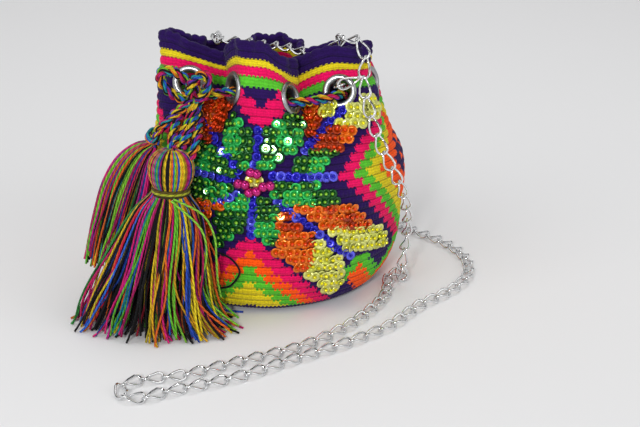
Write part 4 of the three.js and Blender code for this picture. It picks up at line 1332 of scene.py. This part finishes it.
# Depth of wall that an eyelet presses, and how far each face then lies from its middle
PRESS_DEPTH = 14
PRESS_SEAT = 1.7
# The lining starts at this level and lies this much less deep than the wall is thick
LINING_LEVEL = 4
LINING_LESS = 0.6
# Faces across a stitch and up a round, outside and inside
WALL_FACES = (4, 6)
LINING_FACES = (2, 4)


def yarn_at(wall, stitch, row):
    """Which yarn a place in the stitch grid has: 0 purple, 1 pink, 2 yellow, 3 green, 4 orange."""
    angle = (stitch * 360 / wall.stitches + 90) % 180 - 90
    foot = row < FOOT_ROUNDS
    row = np.floor(row)
    cell = np.round(angle / STEP_ANGLE)
    top = math.floor(wall.row_of_level(wall.eyelet_level + 1)) + 1
    yarn = np.zeros(np.shape(angle), int)

    def lay(where, nest, order):
        nests = np.clip(nest, 0, len(order) - 1).astype(int)
        yarn[where] = np.array(order)[nests][where]

    # Diamonds at both sides
    aside = np.abs(np.abs(angle) / STEP_ANGLE - DIAMOND_AT)
    far = aside + np.abs(row - math.floor(wall.row_of_level(DIAMOND_LEVEL)))
    lay(far <= DIAMOND_HALF, np.floor((DIAMOND_HALF - far) / 2), (1, 3, 2, 4, 4, 0, 4))
    # A mountain under the flower, and a low zigzag beside it
    apex = math.floor(wall.row_of_level(HILL_LEVEL))
    hill = apex - row - np.abs(np.round((angle + 5.2) / 4.1))
    zig_top = math.floor(wall.row_of_level(ZIGZAG_LEVEL))
    zig = zig_top - row - np.abs((np.round((np.abs(angle) - 46) / STEP_ANGLE) + 4) % 8 - 4)
    lay((zig >= -1) & (hill < -4) & (row <= zig_top), np.floor((zig + 1) / 2), (3, 4, 4, 0, 1))
    lay(hill >= 0, np.floor(hill / 2), (1, 4, 3, 2, 2, 0))
    # A small point under the bands at the front
    down = top - row
    point = np.abs(cell) <= np.minimum(5 - down, 3)
    lay((down >= 1) & (down <= 5) & point, (np.abs(cell) <= 2 - down).astype(int), (1, 0))
    # Bands under the rim
    for step, shade in enumerate((3, 1, 2)):
        yarn[row == top + step] = shade
    yarn[row > top + 2] = 0
    yarn[foot] = 0
    return yarn


def yarn_faces(wall, stitch, row):
    """Yarn of each face: rounds have toothed edges, and a run of one colour has rounded ends."""
    tooth = np.where(np.floor(stitch * 2) % 2 == 0, 0.09, -0.09)
    height = row + tooth
    yarn = yarn_at(wall, stitch, height)
    edge = np.abs(height % 1 - 0.5) > 0.3
    for step in (-0.45, 0.45):
        beside = yarn_at(wall, stitch + step, height)
        yarn = np.where(edge & (beside < yarn), beside, yarn)
    return yarn


def crochet_grid(wall, name, start, end, colours, inside=False):
    """A sheet of crochet between two stitches, with its rounds raised and holes at the eyelets."""
    last = wall.row_of_level(wall.height)
    across, up = LINING_FACES if inside else WALL_FACES
    stitch = np.linspace(start, end, int(round((end - start) * across)) + 1)
    row = np.linspace(0, last, int(round(last * up)) + 1)
    face, deep, floor = 1, 0, 0.0
    if inside:
        face, deep, floor = -1, wall.wall - LINING_LESS, wall.wall
        row = row[row >= wall.row_of_level(LINING_LEVEL)]
    grid_stitch, grid_row = np.meshgrid(stitch, row)
    angle = grid_stitch * 360 / wall.stitches
    level = wall.level_of_row(grid_row)
    # Rounds stand out as rolls, stitches as small bumps on them, and the whole ripples a little
    bulge = np.abs(np.sin(np.pi * grid_row)) ** 0.7 - 0.55
    knit = 0.3 * (np.abs(np.sin(np.pi * (grid_stitch + 0.5 * (np.floor(grid_row) % 2)))) - 0.6)
    ripple = 0.5 * np.sin(0.9 * grid_row + 0.31 * grid_stitch) * np.sin(0.17 * grid_stitch + 0.4)
    relief = wall.relief * (bulge + knit * (bulge > -0.3)) + 0.3 * ripple
    points = wall.offset(angle, level, wall.ruffle(angle, level) + face * (deep + relief))
    points[..., 2] = np.maximum(points[..., 2], floor)
    hole = np.zeros(np.shape(angle), bool)
    for _, middle, axis in wall.eyelets():
        gap = points - middle
        tall = gap @ axis
        wide = np.linalg.norm(gap - tall[..., None] * axis, axis=-1)
        pressed = np.abs(tall) < PRESS_DEPTH
        near = (1 - smooth(FLAT_RADIUS, FREE_RADIUS, wide)) * pressed
        points += ((face * PRESS_SEAT - tall) * near)[..., None] * axis
        hole |= (wide < OPEN_RADIUS) & pressed
    width = len(stitch)
    i, j = np.meshgrid(np.arange(len(row) - 1), np.arange(width - 1), indexing="ij")
    first = i * width + j
    corners = np.stack([first, first + 1, first + width + 1, first + width], axis=-1).reshape(-1, 4)
    corners = corners[~hole.ravel()[corners].any(axis=1)]
    if inside:
        corners = corners[:, ::-1]
    flat_stitch, flat_row = grid_stitch.ravel(), grid_row.ravel()
    yarn = yarn_faces(wall, flat_stitch[corners].mean(axis=1), flat_row[corners].mean(axis=1))
    shades = np.repeat(np.array(colours)[yarn], 4, axis=0)
    uv = np.stack([flat_stitch[corners].ravel(), flat_row[corners].ravel()], axis=1)
    return mesh_piece(name, points.reshape(-1, 3), corners, crochet_cotton(), shades, uv)


def bumpy_rim(wall, colour):
    """The last round, which stands up as a row of small bumps."""
    turns, sides = wall.stitches * 4, 10
    stitch = np.arange(turns) / 4
    angle = stitch * 360 / wall.stitches
    bump = np.abs(np.sin(np.pi * stitch / 2))
    middle = wall.offset(angle, wall.height, wall.ruffle(angle, wall.height) - wall.wall / 2)
    out = wall.normal(angle, wall.height)
    rise = unit(np.cross(out, np.gradient(middle, axis=0)))
    rise = np.where(rise[:, 2:] < 0, -rise, rise)
    # Half width and half height, which grow at a bump
    wide = 1.7 + 0.35 * bump
    tall = 1.4 + (0.4 + 0.7 * np.sin(0.21 * stitch + 1) ** 2) * bump
    points = []
    for j in range(sides):
        roll = 2 * math.pi * j / sides
        spread = out * (wide * math.cos(roll))[:, None]
        points.append(middle + spread + rise * (tall * math.sin(roll))[:, None])
    points = np.stack(points, axis=1).reshape(-1, 3)
    uv = [((i + di) / 4, 0.3 + 0.4 * (j + dj) / sides) for i in range(turns) for j in range(sides)
          for di, dj in ((0, 0), (1, 0), (1, 1), (0, 1))]
    shades = np.repeat([colour], len(uv), axis=0)
    return mesh_piece("bag.rim", points, tube_faces(turns, sides), crochet_cotton(), shades, uv)


def spiral_base(wall, colour):
    """The base, worked in a spiral from its middle, with its face below and its face inside the bag."""
    turns, rounds = 120, 76
    reach = np.linspace(0.02, 1, rounds)
    rows = reach * wall.base_radius / wall.row
    edge = wall.point(np.arange(turns) * 360 / turns, 0)[:, :2]
    swell = 0.5 * np.abs(np.sin(np.pi * rows)) ** 0.7
    # Stitches in one turn of the grid
    wide = wall.stitches / turns
    points, faces, uv = [], [], []
    for top in (False, True):
        order = -1 if top else 1
        first = len(points)
        for k in range(rounds):
            height = wall.wall + swell[k] if top else 0.5 - swell[k]
            spread = 0.985 * reach[k] if top else reach[k]
            points.extend((*(edge[i] * spread), height) for i in range(turns))
        centre = len(points)
        points.append((0, 0, wall.wall if top else 0.3))
        for i in range(turns):
            after = (i + 1) % turns
            faces.append([centre, first + after, first + i][::order])
            uv.extend([(i * wide, 0.5)] * 3)
            for k in range(rounds - 1):
                a, b = first + k * turns + i, first + k * turns + after
                faces.append([a, b, b + turns, a + turns][::order])
                left, right = i * wide, (i + 1) * wide
                low, high = rows[k], rows[k + 1]
                uv.extend([(left, low), (right, low), (right, high), (left, high)][::order])
    shades = np.repeat([colour], len(uv), axis=0)
    return mesh_piece("bag.base", points, faces, crochet_cotton(), shades, uv)


class BAG_OT_shell(bpy.types.Operator):
    """Work the crocheted wall, its lining side, rim and base"""
    bl_idname = "bag.shell"
    bl_label = "Crocheted shell"

    def execute(self, context):
        wall = Wall(context.scene.bag_shape)
        dyes = context.scene.bag_yarns
        colours = [tuple(getattr(dyes, key)) for key in ("purple", "pink", "yellow", "green", "orange")]
        half = wall.stitches / 2
        pieces = [
            crochet_grid(wall, "bag.wall.front", -half / 2, half / 2, colours),
            crochet_grid(wall, "bag.wall.back", half / 2, half * 1.5, colours),
            crochet_grid(wall, "bag.lining", -half, half, colours, inside=True),
            bumpy_rim(wall, colours[0]),
            spiral_base(wall, colours[0]),
        ]
        for piece in pieces:
            settle(piece, "crochet", "bag_body")
        return {"FINISHED"}


# Eyelets

# Sections of an eyelet and its washer: radius, and height over the middle of the wall
EYELET_SECTION = [(6, -3.1), (6.6, -3.1), (6.6, 1.8), (9.6, 1.8), (9.75, 2.1), (9.5, 2.7), (8.9, 3.2),
                  (8.1, 3.45), (7.2, 3.35), (6.5, 2.95), (6.1, 2.4), (5.95, 1.5)]
WASHER_SECTION = [(6.9, -2.8), (9.3, -2.8), (9.6, -2.6), (9.6, -1.9), (6.9, -1.9)]
EYELET_SIDES = 40


def spun(outline, sides):
    """A closed outline of radius and height turned about +Z."""
    turns = 2 * np.pi * np.arange(sides) / sides
    points = [(r * math.cos(turn), r * math.sin(turn), h) for turn in turns for r, h in outline]
    return points, [face[::-1] for face in tube_faces(sides, len(outline))]


class BAG_OT_eyelets(bpy.types.Operator):
    """Press the metal eyelets and their washers into the wall"""
    bl_idname = "bag.eyelets"
    bl_label = "Eyelets"

    def execute(self, context):
        wall = Wall(context.scene.bag_shape)
        metal = bright_metal("bright nickel plate", "A8AAAC", 0.26, 0.42)
        spots = []
        for _, middle, axis in wall.eyelets():
            side = unit(np.cross([0, 0, 1], axis))
            spots.append(dict(middle=middle, axes=(side, np.cross(axis, side), axis)))
        pieces = {
            "eyelets": (EYELET_SECTION, "eyelet_metal", "eyelet_"),
            "eyelet.washers": (WASHER_SECTION, "washer_metal", "eyelet_washer_"),
        }
        for name, (outline, slot, node) in pieces.items():
            shape = mesh_piece("shape", *spun(outline, EYELET_SIDES), metal)
            nodes = [node + str(i + 1) for i in range(EYELETS)]
            settle(scattered(name, shape, spots, metal), slot, *nodes)
        return {"FINISHED"}


# Sewn flower

# Rows of sequins, each from one end to the other, as millimetres right and up from the middle of the flower
FIELDS = {
    "green": [
        (-15.8, 31.3, -14.2, 31.3), (-20.6, 26.5, -8.7, 28.5), (-22.5, 22.1, -3, 24.9),
        (-21.4, 18, -2.7, 20.1), (-20.8, 14.1, -3.2, 16.3), (-16, 10.9, -4.6, 12.1), (-11.1, 7.3, -6.2, 7.7),
        (-0.5, 8.1, 8.4, 8.5), (2.4, 12.5, 13, 12.5), (2.4, 16.5, 21.6, 16), (3.2, 20.5, 26, 20.1),
        (3.5, 24.9, 27.6, 24.9), (8.7, 29.3, 28.9, 29.8), (14.9, 33, 30, 34.4),
        (29.5, 14.1, 49.2, 12.5), (20.6, 10.3, 40.8, 8.9), (20.3, 6.5, 36.3, 5.7),
        (7.6, -1.5, 33.5, -2.3), (6.5, -5.8, 42.5, -7.1), (13, -10, 45.2, -11.4),
        (-46, 14.6, -22.2, 11.4), (-46, 10.4, -17.9, 7.6), (-46, 6.4, -12.4, 3.2),
        (-46, -1.7, -14.1, -4.3), (-46, -5.7, -17, -7.9), (-46, -9.7, -23.3, -11),
        (-11.1, -9.5, -6, -9.1), (-18.4, -14.1, -6.2, -13.1), (-23.8, -18.7, -6.2, -17.4),
        (-26, -23.9, -6.5, -22.1), (-22.7, -28.2, -9.2, -26.6), (-24.1, -32.2, -14.9, -30.8),
        (-25.2, -36.4, -20.3, -35.6),
        (0, -9.9, 6.2, -9.5), (-1.6, -14.3, 10.8, -13.9), (-1.6, -18.7, 10.3, -18.5),
        (-1.9, -23.3, 8.1, -23.3), (-1.6, -27.9, 10.6, -27.7), (2.7, -32.6, 10, -32.6),
    ],
    "orange": [
        (-42, 39, -31, 39.6), (-46, 34, -17, 35.6), (-46, 30, -22, 31.4), (-46, 26, -21, 28.4),
        (-46, 21.7, -24, 24),
        (-36, -14.5, -29, -14.1), (-40, -19.5, -27, -19.5), (-42, -25, -28.5, -25), (-42, -30, -27.5, -30),
        (-42, -35, -29, -35), (-40, -40, -31, -40),
        (10.6, -17.9, 18.9, -17.9), (9.8, -23.9, 23.3, -24.5), (11.6, -28.7, 31.1, -29.9),
        (10.3, -33.7, 30.6, -35), (8.1, -38.9, 31.4, -39.9), (16.5, -43.3, 30.6, -44.3),
        (21.4, -48, 29.5, -48.7),
    ],
    "yellow": [
        (30.8, -34.6, 36.3, -35.2), (31.9, -39.2, 41.7, -40.2), (29.8, -43.9, 49, -45.9),
        (29.8, -48.3, 50.6, -50.7), (28.1, -53, 51.9, -56), (36.5, -58.9, 53.3, -61.5),
        (40.8, -64, 50.9, -66.2),
        (53.6, 38.9, 59.5, 37.7), (50.9, 34.9, 57.5, 33.7), (62.6, 31, 73.5, 30.5), (56, 27.3, 71.7, 26.9),
        (65.6, 35.3, 74.5, 35), (73.5, 39.6, 84, 39.2), (77, 35, 86.5, 34.6), (76, 30.6, 83, 30.2),
    ],
}
# Rows that the left side has too, the other way round
MIRRORED = {
    "orange": [
        (40.3, 41, 51.9, 38.9), (34.5, 37.6, 51.1, 34.7), (32.5, 33.5, 49.5, 30.9), (31.4, 29.3, 46, 27),
        (30.2, 25.3, 38.5, 23.7), (49.5, 24.4, 65.2, 23.3), (38.8, 20.5, 60.9, 18.9), (32.6, 16.9, 53, 14.9),
        (19.4, -13.7, 56.5, -17.5), (27.2, -18.6, 62.5, -23.4), (33.6, -23.9, 68.6, -29.4),
    ],
    "yellow": [
        (39.8, -28.3, 79.4, -34.9), (45.2, -33.9, 86, -40.9), (49.5, -39.1, 88, -45.9),
    ],
}
# Solids of each colour, each at the right and at the left
FIELD_NODES = {
    "green": ("leaf_top", "leaf_side_upper", "leaf_side_lower", "leaf_bottom"),
    "orange": ("petal_upper_orange", "petal_side_orange", "petal_low_orange"),
    "yellow": ("petal_side_yellow", "petal_low_yellow"),
}
# The film takes its shining colour, a painted reflection, where its drift is over a limit, and its dark
# colour, a painted shade, elsewhere; the low orange petals and the middle have their own
LIMITS = {"green": 0.15, "orange": 0.35, "yellow": -0.3, "blue": 0.1}
LOW_RISE = -12
LOW_LIMIT = -0.7
MIDDLE_LIMIT = -9
# How far sequins and pearls lie off the wall, and how much farther every second one of a row does
FIELD_OUT = 1.15
FIELD_STEP = 0.25
VEIN_OUT = 0.8
VEIN_STEP = 0.3
MIDDLE_OUT = 1.6
PEARL_OUT = 4.2
# What a row is shortened by before its sequins are counted, and the wider spacing of the veins
ROW_ENDS = 2.2
VEIN_SPACING = 1.15
# Start of the random draws
FLOWER_SEED = 5
# Veins, each as a line of places
VEINS = [
    [(0.5, 25.5), (0, 16.1), (-0.8, 12.1), (-2.2, 8.1)],
    [(27, 15.3), (34.1, 20.3), (45.7, 24.2), (57.6, 31.4), (62, 34.2)],
    [(8, 3), (26, 2.3), (42, 1.7)],
    [(10.5, -10), (20.6, -19), (28.1, -24.4), (40.8, -35.5), (47.3, -40.6), (55.4, -45.6)],
    [(-3.6, -9.1), (-3.3, -17.1), (-3.9, -21.1), (-4.1, -29.5)],
    [(-12, -7.6), (-22, -11.8), (-30, -16), (-40.8, -35.5), (-47.3, -40.6), (-55.4, -45.6)],
    [(-12.5, 0.2), (-27, 0.9), (-46, 2.2)],
    [(-11, 4.6), (-15.5, 8.8), (-20, 11.5), (-26, 15.5), (-34.1, 20.3), (-45.7, 24.2), (-57.6, 31.4)],
]
# Sequins near these places lie flat, stand higher and are wider, so they flash; a few others lie flat too
FLASHES = [(8, 17.5), (6.2, 16.2), (15, 20.3), (12.5, 12.5)]
FLASH_REACH = 2.1
FLASH_RISE = 1.1
FLASH_SIZE = 1.3
FLAT_SHARE = 0.02
FLAT_RISE = 0.5
# The way a flat sequin faces, between the camera and the front lamp, and how much of its cup is left
FLAT_AXIS = (0.007, -0.933, 0.36)
FLAT_CUP = 0.05
# Petals with wider sequins
BROAD = {"yellow": 1.14, "orange": 1.08}
# Sequins and pearls in the middle of the flower
MIDDLES = [(-4.1, 0.3), (-0.3, 0.3)]
PEARLS = [(-3.8, 4.5), (-0.5, 3.9), (-10.3, -1.2), (-6.7, -1.5), (-4.6, -5.1), (-0.8, -4.3), (2.8, -1.9),
          (6.4, -1.4)]


def sequin_shape(shape, sheet):
    """A cupped disc with a bead in its middle; the part attribute marks the bead, and hollow the painted
    shade in the cup.
    """
    wide, bead = shape.sequin * 500, shape.bead * 500
    sides, bead_sides = 10, 8
    points = [(0, 0, 0.05), (0, 0, -0.05)]
    for radius, height in ((wide * 0.55, 0.12), (wide, 0.5), (wide * 0.97, 0.32)):
        points.extend(circle_points(radius, height, sides))
    faces = capped_faces(2, 3, sides, 0, 1)
    first = len(points)
    for belt in (0.15, 0.55, 0.9):
        roll = math.pi * (belt - 0.5)
        height = 0.1 + bead * 0.8 * (1 + math.sin(roll))
        points.extend(circle_points(bead * math.cos(roll), height, bead_sides))
    # The rings of the bead rise, so its faces run the other way round
    shell = capped_faces(first, 3, bead_sides, tail=len(points))
    faces += [(face[0], *face[:0:-1]) for face in shell]
    points.append((0, 0, 0.1 + bead * 1.6))
    holder = mesh_piece("sequin", points, faces, sheet)
    beads = len(points) - first
    marks = {
        "part": [0.0] * first + [1.0] * beads,
        "hollow": [1.0, 1.0] + [0.4] * sides + [0.0] * sides + [0.5] * sides + [0.0] * beads,
    }
    for key, values in marks.items():
        layer = holder.data.attributes.new(key, "FLOAT", "POINT")
        layer.data.foreach_set("value", np.array(values, np.float32))
    return holder


def pearl_shape(shape, lacquer):
    """A plain ball."""
    sides, belts = 14, 9
    points = [(0, 0, 1), (0, 0, -1)]
    for j in range(1, belts):
        turn = math.pi * j / belts
        points.extend(circle_points(math.sin(turn), math.cos(turn), sides))
    faces = capped_faces(2, belts - 1, sides, 0, 1)
    return mesh_piece("pearl", np.array(points) * shape.pearl * 500, faces, lacquer)


class BAG_OT_flower(bpy.types.Operator):
    """Sew the flower of sequins, beads and pearls on the front"""
    bl_idname = "bag.flower"
    bl_label = "Sewn flower"

    def execute(self, context):
        shape, dyes = context.scene.bag_flower, context.scene.bag_dyes
        wall = Wall(context.scene.bag_shape)
        film = sequin_film()
        rng = np.random.default_rng(FLOWER_SEED)
        spacing = shape.spacing * 1000

        def spot(across, rise, out, key, limit):
            """One sequin: its film has a painted shine in drifts over the flower, where the drift is over a
            limit, and painted shade elsewhere.
            """
            angle = FLOWER_ANGLE + math.degrees(across / wall.belly_radius)
            level = FLOWER_LEVEL + rise
            axis = wall.normal(angle, level)
            lean = rng.normal(0, 0.14, 3)
            axis = unit(axis + lean - axis * (lean @ axis))
            flash = any(math.hypot(across - x, rise - y) < FLASH_REACH for x, y in FLASHES)
            flat = rng.uniform() < FLAT_SHARE or flash
            if flat:
                axis = unit(np.array(FLAT_AXIS))
                out += FLASH_RISE if flash else FLAT_RISE
            side = unit(np.cross([0, 0, 1], axis))
            turn = rng.uniform(0, 2 * math.pi)
            side = side * math.cos(turn) + np.cross(axis, side) * math.sin(turn)
            size = rng.uniform(0.93, 1.06) * (FLASH_SIZE if flash else BROAD.get(key, 1))
            drift = math.sin(0.17 * across + 1.3) * math.sin(0.21 * rise + 0.6) + rng.normal(0, 0.4)
            # Painted reflection where the drift is over the limit, painted shade elsewhere
            tint = getattr(dyes, key if drift > limit else key + "_dark")
            glow, shine = rng.uniform(0.8, 1.15), rng.uniform(0.8, 1.1)
            return dict(middle=wall.offset(angle, level, out), axes=(side, np.cross(axis, side), axis),
                        size=(size, size, FLAT_CUP if flat else size), tint=[min(c * glow, 1) for c in tint],
                        bead_tint=[min(c * shine, 1) for c in getattr(dyes, key + "_bead")])

        def sewn(name, spots):
            return scattered(name, sequin_shape(shape, film), spots, film)

        for key, rows in FIELDS.items():
            spots = []
            both = MIRRORED.get(key, [])
            for left, low, right, high in rows + both + [(-c, d, -a, b) for a, b, c, d in both]:
                ends = np.array([(left, low), (right, high)])
                span = np.linalg.norm(ends[1] - ends[0])
                number = max(round((span - ROW_ENDS) / spacing), 0) + 1
                for i in range(number):
                    share = (i + 0.5) / number
                    across, rise = ends[0] + (ends[1] - ends[0]) * share + rng.normal(0, 0.25, 2)
                    limit = LOW_LIMIT if key == "orange" and rise <= LOW_RISE else LIMITS[key]
                    spots.append(spot(across, rise, FIELD_OUT + FIELD_STEP * (i % 2), key, limit))
            nodes = [f"sequin_{name}_{side}" for name in FIELD_NODES[key] for side in ("right", "left")]
            settle(sewn("sequins." + key, spots), "sequin_" + key, *nodes)
        spots = []
        for vein in VEINS:
            stops, _ = spaced(flowing([(x, y, 0) for x, y in vein], 20), spacing * VEIN_SPACING)
            for i, (x, y, _) in enumerate(stops):
                spots.append(spot(x, y, VEIN_OUT + VEIN_STEP * (i % 2), "blue", LIMITS["blue"]))
        settle(sewn("sequins.veins", spots), "sequin_blue", "sequin_veins")
        spots = [spot(x, y, MIDDLE_OUT, "yellow", MIDDLE_LIMIT) for x, y in MIDDLES]
        settle(sewn("sequins.middle", spots), "sequin_yellow")
        lacquer = pearl_lacquer(tuple(dyes.pearl))
        spots = [spot(x, y, PEARL_OUT, "blue", LIMITS["blue"]) for x, y in PEARLS]
        for place in spots:
            place.update(size=(1, 1, 1), tint=tuple(dyes.pearl), bead_tint=tuple(dyes.pearl))
        pearls = scattered("pearls", pearl_shape(shape, lacquer), spots, lacquer)
        settle(pearls, "pearl_bead", "pearl_cluster")
        return {"FINISHED"}


# Add-on


class BAG_PT_panel(bpy.types.Panel):
    """Sizes, colours and pieces of the bag"""
    bl_idname = "BAG_PT_panel"
    bl_label = "Crocheted bag"
    bl_space_type = "VIEW_3D"
    bl_region_type = "UI"
    bl_category = "Bag"

    def draw(self, context):
        for key in GROUPS:
            box = self.layout.box()
            group = getattr(context.scene, key)
            for prop in group.bl_rna.properties:
                if prop.identifier not in ("rna_type", "name"):
                    box.prop(group, prop.identifier)
        for operator in OPERATORS:
            self.layout.operator(operator.bl_idname)


GROUPS = {"bag_shape": BagShape, "bag_cord": CordShape, "bag_chain": ChainShape, "bag_flower": FlowerShape,
          "bag_yarns": YarnColours, "bag_dyes": FlowerColours, "bag_stage": StageSettings}
OPERATORS = (BAG_OT_stage, BAG_OT_drawstring, BAG_OT_tassels, BAG_OT_chain, BAG_OT_shell, BAG_OT_eyelets,
             BAG_OT_flower)


def register():
    for group in (*GROUPS.values(), *OPERATORS, BAG_PT_panel):
        bpy.utils.register_class(group)
    for key, group in GROUPS.items():
        setattr(bpy.types.Scene, key, bpy.props.PointerProperty(type=group))


def unregister():
    for key in GROUPS:
        delattr(bpy.types.Scene, key)
    for group in reversed((*GROUPS.values(), *OPERATORS, BAG_PT_panel)):
        bpy.utils.unregister_class(group)


def main():
    register()
    for operator in OPERATORS:
        getattr(bpy.ops.bag, operator.bl_idname.split(".")[1])()


if __name__ == "__main__":
    main()
